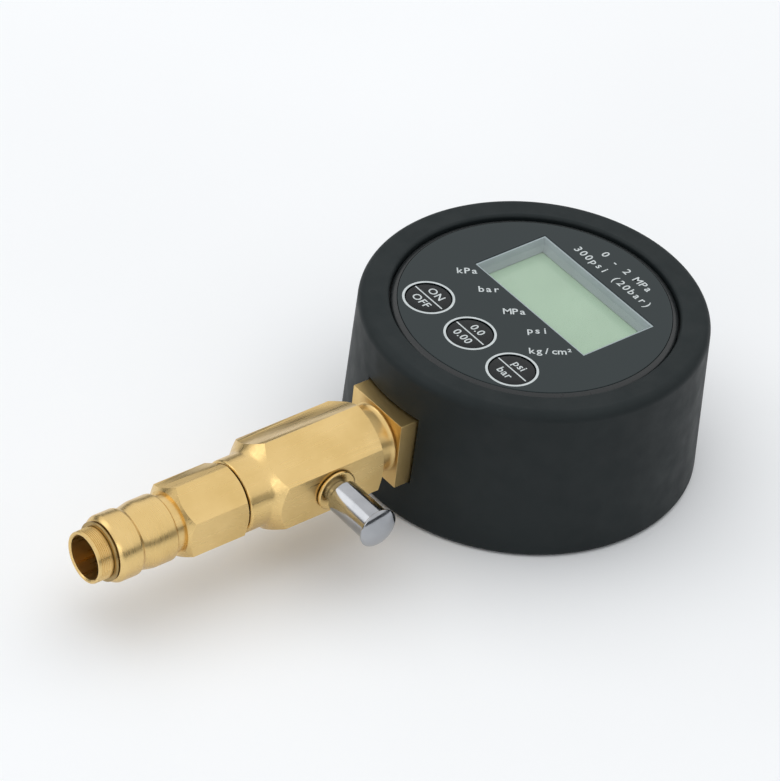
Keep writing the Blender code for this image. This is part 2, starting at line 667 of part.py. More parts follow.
def tact_switch(side, x):
    body = block(f"tact_switch_{side}", (SWITCH_SIDE, SWITCH_SIDE, SWITCH_HEIGHT),
                 (x, KEY_Y, SWITCH_BOTTOM + SWITCH_HEIGHT / 2), SWITCH_METAL, 0.0003)
    plunger = rod(f"switch_plunger_{side}", KEY_STEM_RADIUS, SWITCH_PLUNGER + SWITCH_HEIGHT / 2,
                  (x, KEY_Y, SWITCH_BOTTOM + SWITCH_HEIGHT / 2), sides=SMALL)
    return join(body, plunger)


def circuit_board():
    profile = [(0, BOARD_TOP), (CASE_BORE - FIT, BOARD_TOP), (CASE_BORE - FIT, BOARD_BOTTOM), (0, BOARD_BOTTOM)]
    board = turned("circuit_board", profile, BOARD, steps=FINE)
    for index, (x, y) in enumerate(board_screw_places()):
        cut(board, rod(f"board_hole_{index}", SCREW_RADIUS + SLIDE, 4 * BOARD_THICKNESS,
                       (x, y, BOARD_BOTTOM - BOARD_THICKNESS)))
    return board


def screw_profile(length, direction):
    """A pan head with its shank; direction is +1 when the head is on top."""
    profile = [(0, SCREW_HEAD), (SCREW_HEAD_RADIUS * 0.7, SCREW_HEAD), (SCREW_HEAD_RADIUS, SCREW_HEAD * 0.5),
               (SCREW_HEAD_RADIUS, 0), (SCREW_RADIUS, 0), (SCREW_RADIUS, -length), (0, -length)]
    if direction < 0:
        profile = [(radius, -height) for radius, height in reversed(profile)]
    return profile


def screws(name, places, seat, length, direction):
    """Like screws, numbered where there are several, their heads on the seat level."""
    for index, (x, y) in enumerate(places):
        label = name if len(places) == 1 else f"{name}_{index + 1}"
        turned(label, screw_profile(length, direction), STEEL, centre=(x, y, seat), steps=SMALL)


def rear_cover():
    """Back plate with the tub of the battery bay, the door's rebate and its screw boss."""
    profile = [(0, COVER_TOP), (CASE_BORE - FIT, COVER_TOP), (CASE_BORE - FIT, CASE_BASE), (0, CASE_BASE)]
    cover = turned("rear_cover", profile, CASE_PLASTIC, steps=FINE)
    tub = block("bay_tub", (BAY_LENGTH + 2 * BAY_WALL, BAY_WIDTH + 2 * BAY_WALL, BAY_TOP - DOOR_TOP),
                (0, 0, (BAY_TOP + DOOR_TOP) / 2))
    boss = rod("door_boss", SCREW_RADIUS + 0.0016, DOOR_SCREW_LENGTH, (0, door_screw_y(), DOOR_SEAT + FIT))
    join(cover, tub, boss)
    bay = block("bay_room", (BAY_LENGTH, BAY_WIDTH, 2 * (BAY_CEILING - CASE_BASE)), (0, 0, CASE_BASE))
    rebate = block("door_rebate", (BAY_LENGTH + 2 * DOOR_LEDGE, BAY_WIDTH + 2 * DOOR_LEDGE,
                                   2 * (DOOR_SEAT - CASE_BASE)), (0, 0, CASE_BASE))
    tab_length = 2 * (DOOR_TAB_REACH + FIT)
    tab = block("tab_rebate", (DOOR_TAB_WIDTH + 2 * FIT, tab_length, 2 * (DOOR_SEAT - CASE_BASE)),
                (0, BAY_WIDTH / 2 + DOOR_LEDGE, CASE_BASE))
    slots = [block(f"contact_slot_{side}", (CONTACT_THICKNESS + 4 * FIT, CONTACT_TAB + 2 * FIT, 4 * BAY_WALL),
                   (side * contact_x(), 0, BAY_CEILING)) for side in (-1, 1)]
    thread = rod("door_screw_hole", SCREW_RADIUS + SLIDE, DOOR_SCREW_LENGTH + BAY_WALL,
                 (0, door_screw_y(), CASE_BASE))
    cut(cover, bay, rebate, tab, thread, *slots)
    for index, (x, y) in enumerate(cover_screw_places()):
        cut(cover, rod(f"cover_hole_{index}", SCREW_RADIUS + SLIDE, 4 * COVER_THICKNESS,
                       (x, y, CASE_BASE - COVER_THICKNESS)))
        cut(cover, rod(f"cover_counterbore_{index}", SCREW_HEAD_RADIUS + FIT,
                       2 * (SCREW_HEAD + FIT), (x, y, CASE_BASE - SCREW_HEAD - FIT)))
    return cover


def door_screw_y():
    return BAY_WIDTH / 2 + DOOR_LEDGE + DOOR_TAB_REACH / 2


def contact_x():
    return BAY_LENGTH / 2 - FIT - CONTACT_THICKNESS / 2


def battery_door():
    """Flat door with a screwed tab."""
    outline_width = BAY_LENGTH + 2 * DOOR_LEDGE - 2 * FIT
    outline_height = BAY_WIDTH + 2 * DOOR_LEDGE - 2 * FIT
    outline = rounded_rectangle(outline_width, outline_height, 0.0004, (0, 0), 1)
    door = plate("battery_door", outline, CASE_BASE, DOOR_TOP, CASE_PLASTIC)
    tab = block("door_tab", (DOOR_TAB_WIDTH, 2 * DOOR_TAB_REACH, DOOR_THICKNESS),
                (0, BAY_WIDTH / 2 + DOOR_LEDGE - FIT, (CASE_BASE + DOOR_TOP) / 2))
    join(door, tab)
    hole = rod("door_hole", SCREW_RADIUS + SLIDE, 4 * DOOR_THICKNESS, (0, door_screw_y(), 0))
    sink = rod("door_counterbore", SCREW_HEAD_RADIUS + FIT, 2 * (SCREW_HEAD + FIT),
               (0, door_screw_y(), CASE_BASE - SCREW_HEAD - FIT))
    return cut(door, hole, sink)


def battery(side, y, direction):
    """Slim round cell along X, its nub towards the given side."""
    edge = 0.0004
    half = CELL_LENGTH / 2
    profile = [(0, half), (CELL_NUB_RADIUS, half), (CELL_NUB_RADIUS, half - CELL_NUB),
               (CELL_RADIUS - edge, half - CELL_NUB), (CELL_RADIUS, half - CELL_NUB - edge),
               (CELL_RADIUS, -half + edge), (CELL_RADIUS - edge, -half), (0, -half)]
    nub_gap = contact_x() - CONTACT_THICKNESS / 2 - FIT - half
    turn = Matrix.Rotation(math.radians(90 * direction), 4, "Y")
    cell = turned(f"battery_cell_{side}", profile, CELL_WRAP, turn,
                  (direction * nub_gap, y, CELL_HEIGHT), SMALL)
    room = contact_x() - CONTACT_THICKNESS / 2 + nub_gap * direction * direction - (-half) - CELL_LENGTH
    length = room - 2 * FIT - 2 * SPRING_WIRE / 2
    coil = helix(CELL_RADIUS * 0.62, CELL_RADIUS * 0.40, 2.5, length, 10)
    start = -direction * (contact_x() - CONTACT_THICKNESS / 2 - FIT - SPRING_WIRE / 2)
    wire(f"battery_spring_{side}", placed(coil, turn, (start, y, CELL_HEIGHT)), SPRING_WIRE / 2, STEEL, sides=1)
    return cell


def contact_plate(side, direction):
    """Spring-steel plate across both cells, with a tab through the bay's ceiling."""
    plate_height = 2 * CELL_RADIUS - 2 * FIT
    body = block(f"contact_plate_{side}", (CONTACT_THICKNESS, BAY_WIDTH - 4 * FIT, plate_height),
                 (direction * contact_x(), 0, CELL_HEIGHT), STEEL)
    rise = BAY_TOP + CONTACT_TAB - CELL_HEIGHT
    tab = block(f"contact_tab_{side}", (CONTACT_THICKNESS, CONTACT_TAB, rise),
                (direction * contact_x(), 0, CELL_HEIGHT + rise / 2))
    join(body, tab)
    foot = BAY_TOP + CONTACT_TAB + FIT
    rise_points = [(direction * contact_x(), 0, foot), (direction * (contact_x() + LEAD_RADIUS), 0, foot + 0.003),
                   (direction * contact_x(), 0, (foot + BOARD_BOTTOM) / 2),
                   (direction * (contact_x() - LEAD_RADIUS), 0, BOARD_BOTTOM - 0.003),
                   (direction * (contact_x() - LEAD_RADIUS), 0, BOARD_BOTTOM - FIT)]
    wire(f"battery_lead_{side}", [Vector(place) for place in rise_points], LEAD_RADIUS * 0.75, LEAD_SHEATH)
    return body


def socket():
    """One brass turning on a square block: shank inside the case, neck and thread outside."""
    middle = (BLOCK_BACK + BLOCK_FRONT) / 2
    body = block("gauge_socket", (BLOCK_SIDE, BLOCK_LENGTH, BLOCK_SIDE), (0, -middle, AXIS_HEIGHT),
                 BRASS, BLOCK_ROUND)
    thread_end = NECK_FRONT + SOCKET_THREAD_LENGTH
    relief = SOCKET_THREAD_RADIUS - 0.0007
    relief_end = NECK_FRONT + FIT + 3 * ORING_WIRE
    neck_round = 0.0008
    stem = stem_turned("socket_stem", [
        (0, thread_end), (SOCKET_THREAD_RADIUS - 0.0008, thread_end),
        (SOCKET_THREAD_RADIUS, thread_end - 0.0008), (SOCKET_THREAD_RADIUS, relief_end),
        (relief, relief_end), (relief, NECK_FRONT), (NECK_RADIUS - neck_round, NECK_FRONT),
        (NECK_RADIUS, NECK_FRONT - neck_round), (NECK_RADIUS, BLOCK_FRONT - 0.001),
        (0, BLOCK_FRONT - 0.001)])
    shank = stem_turned("socket_shank", [
        (0, BLOCK_BACK + 0.001), (SHANK_RADIUS, BLOCK_BACK + 0.001), (SHANK_RADIUS, SHANK_END + 0.0006),
        (SHANK_RADIUS - 0.0006, SHANK_END), (0, SHANK_END)])
    join(body, stem, shank)
    stud_room = SENSOR_STUD_RADIUS + FIT
    stud_floor = SHANK_END + SENSOR_STUD + FIT
    bore = stem_turned("socket_bore", [
        (0, thread_end + 0.001), (GAS_BORE, thread_end + 0.001), (GAS_BORE, stud_floor),
        (stud_room, stud_floor), (stud_room, SHANK_END - 0.001), (0, SHANK_END - 0.001)], steps=SMALL)
    return cut(body, bore)


def socket_nut():
    """Hexagon nut that clamps the socket's shank inside the case."""
    start = NUT_FRONT - NUT_LENGTH
    edge = NUT_FLATS / 2
    corner = NUT_FLATS / math.sqrt(3)
    chamfer = (corner - edge) * 0.6
    nut = stem_turned("socket_nut", [
        (edge, NUT_FRONT), (corner, NUT_FRONT - chamfer), (corner, start + chamfer), (edge, start),
        (SHANK_RADIUS + SLIDE, start), (SHANK_RADIUS + SLIDE, NUT_FRONT)], BRASS)
    mask = hexagon_mask("nut_flats", NUT_FLATS, start - FIT, NUT_LENGTH + 2 * FIT)
    mask.matrix_world = mask.matrix_world @ Matrix.Rotation(math.radians(30), 4, "Z")
    return cut(nut, mask)


def pressure_sensor():
    """Steel can with a threaded stud in the end of the shank, and its lead to the board."""
    can_front = SHANK_END - FIT
    can_back = can_front - SENSOR_LENGTH
    stud_end = SHANK_END + SENSOR_STUD
    edge = 0.0006
    stem_turned("pressure_sensor", [
        (0, stud_end), (SENSOR_STUD_RADIUS, stud_end), (SENSOR_STUD_RADIUS, can_front),
        (SENSOR_RADIUS, can_front), (SENSOR_RADIUS, can_back + edge),
        (SENSOR_RADIUS - edge, can_back), (0, can_back)], STEEL, SMALL)
    start = Vector((0, -can_back + FIT, AXIS_HEIGHT))
    end = Vector((0, -can_back + SENSOR_RADIUS, BOARD_BOTTOM - FIT))
    first = start + Vector((0, SENSOR_RADIUS, 0))
    second = end - Vector((0, 0, SENSOR_RADIUS))
    path = []
    for i in range(11):
        t = i / 10
        path.append(start * (1 - t) ** 3 + first * 3 * t * (1 - t) ** 2 + second * 3 * t * t * (1 - t) + end * t ** 3)
    wire("sensor_lead", path, LEAD_RADIUS, LEAD_SHEATH)


def socket_oring():
    """Seal ring in the relief behind the socket's thread."""
    radius = SOCKET_THREAD_RADIUS - 0.0007 + SLIDE + ORING_WIRE
    middle = HEX_START + SLIDE + ORING_WIRE
    points = placed(ring_points(radius, 20), ALONG_STEM, (0, -middle, AXIS_HEIGHT))
    wire("socket_oring", points, ORING_WIRE, SEAL_RUBBER, cyclic=True, sides=1)


def valve_body():
    """Hexagon bar turned down to a collar, bored through, with the bleed valve's cross hole."""
    corner = HEX_FLATS / math.sqrt(3)
    rear_radius = SOCKET_THREAD_RADIUS + FIT
    rear_floor = NECK_FRONT + SOCKET_THREAD_LENGTH + FIT
    oring_room = SOCKET_THREAD_RADIUS - 0.0007 + 2 * SLIDE + 2 * ORING_WIRE
    oring_floor = HEX_START + 2 * (SLIDE + ORING_WIRE)
    front_radius = COUPLER_THREAD_RADIUS + FIT
    front_floor = COUPLER_START - COUPLER_THREAD - FIT
    blank = [(front_radius, COLLAR_END)]
    blank += arc(COLLAR_RADIUS - COLLAR_ROUND, COLLAR_END - COLLAR_ROUND, COLLAR_ROUND, 90, 0, 2)
    blank += [(COLLAR_RADIUS, COLLAR_START), (corner, CORNERS_END), (corner, HEX_START + HEX_CHAMFER),
              (HEX_FACE_RADIUS, HEX_START), (oring_room, HEX_START), (oring_room, oring_floor),
              (rear_radius, oring_floor), (rear_radius, rear_floor), (GAS_BORE, rear_floor),
              (GAS_BORE, front_floor), (front_radius, front_floor)]
    body = stem_turned("valve_body", blank, BRASS, BARREL)
    mask = hexagon_mask("large_flats", HEX_FLATS, HEX_START - HEX_CHAMFER, HEX_LENGTH + 2 * HEX_CHAMFER + HEX_RUNOUT)
    face = HEX_FLATS / 2
    disc_end = disc_reach() - BUTTON_TRAVEL - DISC_THICKNESS - FIT
    seat_end = face + FIT - SEAT_THREAD - FIT
    cross = valve_turned("cross_hole", [
        (0, face + FIT), (SEAT_THREAD_RADIUS + FIT, face + FIT), (SEAT_THREAD_RADIUS + FIT, seat_end),
        (DISC_RADIUS + FIT, seat_end), (DISC_RADIUS + FIT, disc_end), (0, disc_end)], steps=SMALL)
    return cut(body, mask, cross)


def flange_reach():
    """Outer side of the bleed seat's flange, measured from the stem's axis."""
    return HEX_FLATS / 2 + FIT + SEAT_FLANGE


def disc_reach():
    """Side of the sealing disc that closes on the seat."""
    return HEX_FLATS / 2 + FIT - SEAT_THREAD - FIT


def button_start():
    return flange_reach() + BUTTON_TRAVEL + FIT


def button_end():
    return button_start() + BUTTON_BARREL + BUTTON_HEAD


def button_floor():
    """Inside end of the hollow barrel."""
    return button_start() + BUTTON_BARREL - BUTTON_WALL


def bleed_seat():
    """Threaded bush with a flange on the hexagon's flat and a guide for the button."""
    face = HEX_FLATS / 2 + FIT
    edge = 0.0003
    guide_end = flange_reach() + SEAT_GUIDE
    valve_turned("bleed_seat", [
        (SEAT_GUIDE_RADIUS - edge, guide_end), (SEAT_GUIDE_RADIUS, guide_end - edge),
        (SEAT_GUIDE_RADIUS, flange_reach()), (SEAT_FLANGE_RADIUS - edge, flange_reach()),
        (SEAT_FLANGE_RADIUS, flange_reach() - edge), (SEAT_FLANGE_RADIUS, face),
        (SEAT_THREAD_RADIUS, face), (SEAT_THREAD_RADIUS, face - SEAT_THREAD),
        (PIN_RADIUS + FIT, face - SEAT_THREAD), (PIN_RADIUS + FIT, guide_end)], BRASS, MEDIUM)


def bleed_button():
    """Hollow chromed barrel with a wider domed head."""
    start = button_start()
    barrel_end = start + BUTTON_BARREL
    inner = BUTTON_RADIUS - BUTTON_WALL
    edge = 0.0003
    dome = BUTTON_HEAD * 0.45
    hole = PIN_RADIUS + FIT
    profile = [(0, button_end()), (BUTTON_HEAD_RADIUS * 0.45, button_end() - dome * 0.12),
               (BUTTON_HEAD_RADIUS * 0.78, button_end() - dome * 0.50),
               (BUTTON_HEAD_RADIUS, button_end() - dome), (BUTTON_HEAD_RADIUS, barrel_end + edge),
               (BUTTON_HEAD_RADIUS - edge, barrel_end), (BUTTON_RADIUS, barrel_end),
               (BUTTON_RADIUS, start + edge), (BUTTON_RADIUS - edge, start), (inner, start),
               (inner, button_floor()), (hole, button_floor()), (hole, button_floor() + PIN_SEATING + FIT),
               (0, button_floor() + PIN_SEATING + FIT)]
    return valve_turned("bleed_button", profile, CHROME, BARREL)


def bleed_inside():
    """Pin, sealing disc and spring behind the button."""
    pin_start = disc_reach() - PIN_SEATING
    pin_end = button_floor() + PIN_SEATING
    valve_turned("bleed_pin", [(0, pin_end), (PIN_RADIUS, pin_end), (PIN_RADIUS, pin_start), (0, pin_start)],
                 STEEL, SMALL)
    hole = PIN_RADIUS + FIT
    disc_back = disc_reach() - DISC_THICKNESS
    valve_turned("bleed_disc", [
        (0, pin_start - FIT), (hole, pin_start - FIT), (hole, disc_reach()),
        (DISC_RADIUS, disc_reach()), (DISC_RADIUS, disc_back), (0, disc_back)], SEAL_RUBBER, SMALL)
    radius = (PIN_RADIUS + BUTTON_RADIUS - BUTTON_WALL) / 2
    start = flange_reach() + SEAT_GUIDE + FIT + BLEED_WIRE / 2
    length = button_floor() - FIT - BLEED_WIRE / 2 - start
    coil = helix(radius, radius, BLEED_TURNS, length, 8)
    centre = (start, -VALVE_STATION, AXIS_HEIGHT)
    wire("bleed_spring", placed(coil, ALONG_VALVE, centre), BLEED_WIRE / 2, STEEL, sides=1)


def coupler_body():
    """Hexagon, stepped barrel and hollow nose of the female coupler, in one piece."""
    corner = COUPLER_FLATS / math.sqrt(3)
    thread_back = COUPLER_START - COUPLER_THREAD
    groove_radius = BARREL_RADIUS - SNAP_GROOVE
    groove_start = SNAP_START - FIT / 2
    groove_end = SNAP_END + FIT / 2
    blank = [(MOUTH_RADIUS + NOSE_ROUND, NOSE_END), (BARREL_RADIUS - NOSE_ROUND, NOSE_END),
             (BARREL_RADIUS, NOSE_END - NOSE_ROUND), (BARREL_RADIUS, groove_end), (groove_radius, groove_end),
             (groove_radius, groove_start), (BARREL_RADIUS, groove_start), (BARREL_RADIUS, LAND_END),
             (LAND_RADIUS, LAND_END), (LAND_RADIUS, LAND_START),
             (COUPLER_FACE_RADIUS, LAND_START), (corner, COUPLER_CORNERS_END),
             (corner, COUPLER_START + COUPLER_CHAMFER), (COUPLER_FACE_RADIUS, COUPLER_START),
             (COUPLER_THREAD_RADIUS, COUPLER_START), (COUPLER_THREAD_RADIUS, thread_back + 0.0006),
             (COUPLER_THREAD_RADIUS - 0.0006, thread_back), (GAS_BORE, thread_back),
             (GAS_BORE, MOUTH_FLOOR), (MOUTH_RADIUS, MOUTH_FLOOR), (MOUTH_RADIUS, NOSE_END - NOSE_ROUND)]
    body = stem_turned("coupler_body", blank, BRASS, BARREL)
    mask = hexagon_mask("small_flats", COUPLER_FLATS, COUPLER_START - FIT, LAND_START - COUPLER_START + 2 * FIT)
    cut(body, mask)
    for index in range(BALL_COUNT):
        cut(body, rod(f"ball_hole_{index}", BALL_RADIUS + SLIDE, SLEEVE_RADIUS,
                      (0, -BALL_STATION, AXIS_HEIGHT), ball_turn(index), sides=SMALL))
    return body


def ball_turn(index):
    """Turns +Z to the ball's direction out of the barrel."""
    return Matrix.Rotation(2 * math.pi * (index + 0.5) / BALL_COUNT, 4, "Y")


def coupler_sleeve():
    """Sliding sleeve: two raised rings with a groove between, spring chamber and ball ramp inside."""
    first_end = SLEEVE_START + RING_WIDTH
    second_start = SLEEVE_END - RING_WIDTH - SLEEVE_FRONT_CHAMFER
    groove = SLEEVE_RADIUS - GROOVE_DEPTH
    front_edge = SLEEVE_FRONT_RADIUS
    ramp_end = BALL_STATION + SLEEVE_TRAVEL
    ramp_radius = SLEEVE_LAND + BALL_LIFT
    lip_start = SLEEVE_END - SLEEVE_LIP
    lip_radius = BARREL_RADIUS + SLIDE
    round_rear = SLEEVE_REAR_ROUND
    profile = [
        (front_edge, SLEEVE_END), (SLEEVE_RADIUS - 0.0002, SLEEVE_END - SLEEVE_FRONT_CHAMFER * 0.8),
        (SLEEVE_RADIUS, SLEEVE_END - SLEEVE_FRONT_CHAMFER * 1.2),
        (SLEEVE_RADIUS, second_start), (groove, second_start - GROOVE_SLOPE),
        (groove, first_end + GROOVE_SLOPE), (SLEEVE_RADIUS, first_end),
        (SLEEVE_RADIUS, SLEEVE_START + round_rear), (SLEEVE_RADIUS - round_rear, SLEEVE_START),
        (SLEEVE_CHAMBER, SLEEVE_START), (SLEEVE_CHAMBER, CHAMBER_END), (SLEEVE_LAND, CHAMBER_END),
        (SLEEVE_LAND, BALL_STATION), (ramp_radius, ramp_end), (ramp_radius, lip_start - FIT),
        (lip_radius, lip_start), (lip_radius, SLEEVE_END)]
    return stem_turned("coupler_sleeve", profile, BRASS, BARREL)


def coupler_inside():
    """Sleeve spring, locking balls, retaining ring and mouth seal."""
    radius = (BARREL_RADIUS + SLEEVE_CHAMBER) / 2
    start = LAND_END + FIT + COUPLER_WIRE / 2
    length = CHAMBER_END - FIT - COUPLER_WIRE / 2 - start
    coil = helix(radius, radius, COUPLER_TURNS, length, 14)
    wire("sleeve_spring", placed(coil, ALONG_STEM, (0, -start, AXIS_HEIGHT)), COUPLER_WIRE / 2, STEEL, sides=1)
    for index in range(BALL_COUNT):
        build = bmesh.new()
        bmesh.ops.create_uvsphere(build, u_segments=8, v_segments=6, radius=BALL_RADIUS)
        ball = add_object(f"lock_ball_{index + 1}", finished(build), PART, STEEL)
        out = ball_turn(index) @ Vector((0, 0, BALL_ORBIT))
        ball.location = Vector((0, -BALL_STATION, AXIS_HEIGHT)) + out
        soften(ball)
    inner = BARREL_RADIUS - SNAP_GROOVE + FIT / 2
    ring = stem_turned("retaining_ring", [
        (SNAP_RADIUS, SNAP_END), (SNAP_RADIUS, SNAP_START), (inner, SNAP_START), (inner, SNAP_END)], STEEL)
    opening = block("ring_opening", (SNAP_OPENING, 4 * SNAP_THICKNESS, SNAP_RADIUS * 2),
                    (0, -(SNAP_START + SNAP_END) / 2, AXIS_HEIGHT - SNAP_RADIUS))
    cut(ring, opening)
    middle = MOUTH_FLOOR + FIT + SEAL_WIRE
    points = placed(ring_points(SEAL_RADIUS, 20), ALONG_STEM, (0, -middle, AXIS_HEIGHT))
    wire("mouth_seal", points, SEAL_WIRE, SEAL_RUBBER, cyclic=True, sides=1)


def build_gauge():
    """Everything inside and round the boot."""
    rubber_boot()
    gauge_case()
    bezel()
    face_panel()
    display()
    circuit_board()
    for side, x in key_places().items():
        key(side, x)
        tact_switch(side, x)
    screws("board_screw", board_screw_places(), BOARD_TOP + FIT, BOARD_SCREW_LENGTH, 1)
    rear_cover()
    screws("cover_screw", cover_screw_places(), CASE_BASE + SCREW_HEAD, COVER_SCREW_LENGTH, -1)
    battery_door()
    screws("door_screw", [(0, door_screw_y())], CASE_BASE + SCREW_HEAD, DOOR_SCREW_LENGTH, -1)
    battery("a", CELL_SPACING / 2, 1)
    battery("b", -CELL_SPACING / 2, -1)
    contact_plate("left", -1)
    contact_plate("right", 1)


def build_stem():
    """The brass train from the case to the coupler's mouth."""
    socket()
    socket_nut()
    pressure_sensor()
    socket_oring()
    valve_body()
    bleed_seat()
    bleed_button()
    bleed_inside()
    coupler_body()
    coupler_sleeve()
    coupler_inside()


build_gauge()
build_stem()
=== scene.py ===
"""Looks of the digital compression gauge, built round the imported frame.

Everything is in metres in the part's frame: the dial faces +Z and the stem runs along -Y.
A profile is a list of (radius, station) points. On the stem, a station is the distance from
the dial's axis towards the coupler's mouth. On the bleed valve, it is the distance from the
stem's axis towards the button's end.
"""
import math

import bmesh
import bpy
from mathutils import Matrix, Vector


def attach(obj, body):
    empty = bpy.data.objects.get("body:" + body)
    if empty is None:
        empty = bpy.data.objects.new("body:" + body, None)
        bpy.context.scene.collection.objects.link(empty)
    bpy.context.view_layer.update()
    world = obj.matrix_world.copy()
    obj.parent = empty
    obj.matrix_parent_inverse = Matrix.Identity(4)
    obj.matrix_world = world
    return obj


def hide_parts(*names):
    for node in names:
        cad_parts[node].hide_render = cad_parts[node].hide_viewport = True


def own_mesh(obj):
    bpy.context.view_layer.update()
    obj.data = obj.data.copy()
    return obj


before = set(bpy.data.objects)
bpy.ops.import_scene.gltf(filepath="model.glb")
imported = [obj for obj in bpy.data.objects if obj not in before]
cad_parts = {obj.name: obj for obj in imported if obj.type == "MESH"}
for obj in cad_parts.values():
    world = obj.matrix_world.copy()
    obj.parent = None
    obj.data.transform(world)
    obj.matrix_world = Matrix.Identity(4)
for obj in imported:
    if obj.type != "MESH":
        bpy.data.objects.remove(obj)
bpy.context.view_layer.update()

# Main sizes
AXIS_HEIGHT = 0.0200
BASE_RADIUS = 0.0410
WALL_RADIUS = 0.0400
WALL_TOP = 0.0376
WALL_BASE = 0.0015
FACE_TOP = 0.0395
FACE_THICKNESS = 0.0012
FACE_RADIUS = 0.03118
WINDOW = (0.0003, 0.0082, 0.0392, 0.0206)    # centre x, centre y, width, height
KEYS = {"left": -0.0148, "middle": 0.0003, "right": 0.0154}    # x of each key's centre
KEY_Y = -0.0190
KEY_RADIUS = 0.00515
KEY_GAP = 0.00025
VALVE_STATION = 0.0622
HEX_FLATS = 0.0200
COUPLER_FLATS = 0.0160
MOUTH_STATION = 0.1227
BORE_RADIUS = 0.0015
BALL_COUNT = 4
BALL_STATION = 0.1135
BALL_HOLE_RADIUS = 0.00125
BALL_HOLE_DEPTH = 0.0078

# The square block as the photograph shows it, a little smaller than the source's
BLOCK_SIDE = 0.0174
BLOCK_FRONT = 0.0437
BLOCK_BACK = 0.0373
BLOCK_GAP = 0.0003    # round the block in the boot's window
BLOCK_BASE = AXIS_HEIGHT - BLOCK_SIDE / 2
BLOCK_TOP = AXIS_HEIGHT + BLOCK_SIDE / 2

# Fine turned ridges round the coupler's nose
RIDGE_COUNT = 6
RIDGE_START = 0.12205
RIDGE_PITCH = 0.00044

# Printing on the panel and the keys
INK_LEVEL = FACE_TOP + 0.000004
INK_THICKNESS = 0.000012
LETTER_SIZE = 0.00290
LETTER_SPACING = 1.08
LETTER_BOLDNESS = 0.013    # share of the size added to the outline
RANGE_LINES = (("0 - 2 MPa", 0.00190, (0.0012, 0.0259, INK_LEVEL), 0.5),
               ("300psi (20bar)", 0.00188, (0.0010, 0.0219, INK_LEVEL), 1.0))
UNIT_ENDS = (("kPa", -0.0166), ("bar", -0.0086), ("MPa", 0.0009), ("psi", 0.0090),
             ("kg/cm²", 0.0178))    # x of each slanted label's upper end
UNIT_END_Y = -0.0033
UNIT_ADVANCE = 0.00172
UNIT_SLANT = math.radians(56)
KEY_WORDS = {"left": ("ON", "OFF"), "middle": ("0.0", "0.00"), "right": ("psi", "bar")}
KEY_WORD_Y = (0.0021, -0.0022)    # upper and lower word from the key's centre
KEY_BAR = (2 * KEY_RADIUS - 0.0006, 0.00034)    # length and width
KEY_RING = (KEY_RADIUS + 0.00030, KEY_RADIUS + 0.00085)    # inner and outer radius

# Points round a full turn
ROUND_STEPS = 160
SLEEVE_STEPS = 128
STEM_STEPS = 96
KEY_STEPS = 72
VALVE_GUIDE_STEPS = 64
BORE_STEPS = 48
CARD_STEPS = 48

SAME_PLACE = 1e-7    # points nearer than this are one
SHARP_DEGREES = 38
UPRIGHT = Matrix.Identity(4)
ALONG_STEM = (Matrix.Translation((0, 0, AXIS_HEIGHT))
              @ Matrix.Rotation(math.radians(90), 4, "X"))
ALONG_VALVE = (Matrix.Translation((0, -VALVE_STATION, AXIS_HEIGHT))
               @ Matrix.Rotation(math.radians(90), 4, "Y"))
EVEN = (1, 1, 1)


# Materials

def new_material(name, colour, roughness, metallic=0.0):
    made = bpy.data.materials.new(name)
    made.use_nodes = True
    shader = made.node_tree.nodes["Principled BSDF"]
    shader.inputs["Base Color"].default_value = (*colour, 1.0)
    shader.inputs["Roughness"].default_value = roughness
    shader.inputs["Metallic"].default_value = metallic
    return made, made.node_tree.nodes, made.node_tree.links, shader


def noise(nodes, links, scale, detail=3.0, stretch=EVEN):
    """Noise in the part's own metres, stretched along an axis for drawn or turned marks."""
    place = nodes.new("ShaderNodeTexCoord")
    mapping = nodes.new("ShaderNodeMapping")
    mapping.inputs["Scale"].default_value = stretch
    texture = nodes.new("ShaderNodeTexNoise")
    texture.inputs["Scale"].default_value = scale
    texture.inputs["Detail"].default_value = detail
    links.new(place.outputs["Object"], mapping.inputs["Vector"])
    links.new(mapping.outputs["Vector"], texture.inputs["Vector"])
    return texture.outputs["Fac"]


def ranged(nodes, links, value, low, high, start=0.3, end=0.7):
    """Spread a noise value between two numbers."""
    spread = nodes.new("ShaderNodeMapRange")
    spread.inputs["From Min"].default_value = start
    spread.inputs["From Max"].default_value = end
    spread.inputs["To Min"].default_value = low
    spread.inputs["To Max"].default_value = high
    links.new(value, spread.inputs["Value"])
    return spread.outputs["Result"]


def two_toned(nodes, links, shader, value, first, second, start=0.3, end=0.7):
    """Let the base colour wander between two tones."""
    mix = nodes.new("ShaderNodeMix")
    mix.data_type = "RGBA"
    mix.inputs["A"].default_value = (*first, 1.0)
    mix.inputs["B"].default_value = (*second, 1.0)
    links.new(ranged(nodes, links, value, 0.0, 1.0, start, end), mix.inputs["Factor"])
    links.new(mix.outputs["Result"], shader.inputs["Base Color"])


def bumped(nodes, links, value, strength, distance, after=None):
    """A fine relief, laid over another one where that is given."""
    bump = nodes.new("ShaderNodeBump")
    bump.inputs["Strength"].default_value = strength
    bump.inputs["Distance"].default_value = distance
    links.new(value, bump.inputs["Height"])
    if after is not None:
        links.new(after, bump.inputs["Normal"])
    return bump.outputs["Normal"]


def surface(name, colour, other, rough, metallic=0.0, patch=60.0, grain=3000.0, specular=0.5):
    """A finish with patches of two tones, roughness that varies, and a fine grain."""
    made, nodes, links, shader = new_material(name, colour, rough[0], metallic)
    shader.inputs["Specular IOR Level"].default_value = specular
    broad = noise(nodes, links, patch, 4.0)
    fine = noise(nodes, links, grain, 2.0)
    two_toned(nodes, links, shader, broad, colour, other)
    links.new(ranged(nodes, links, fine, *rough), shader.inputs["Roughness"])
    links.new(bumped(nodes, links, fine, 0.3, 0.00001), shader.inputs["Normal"])
    return made


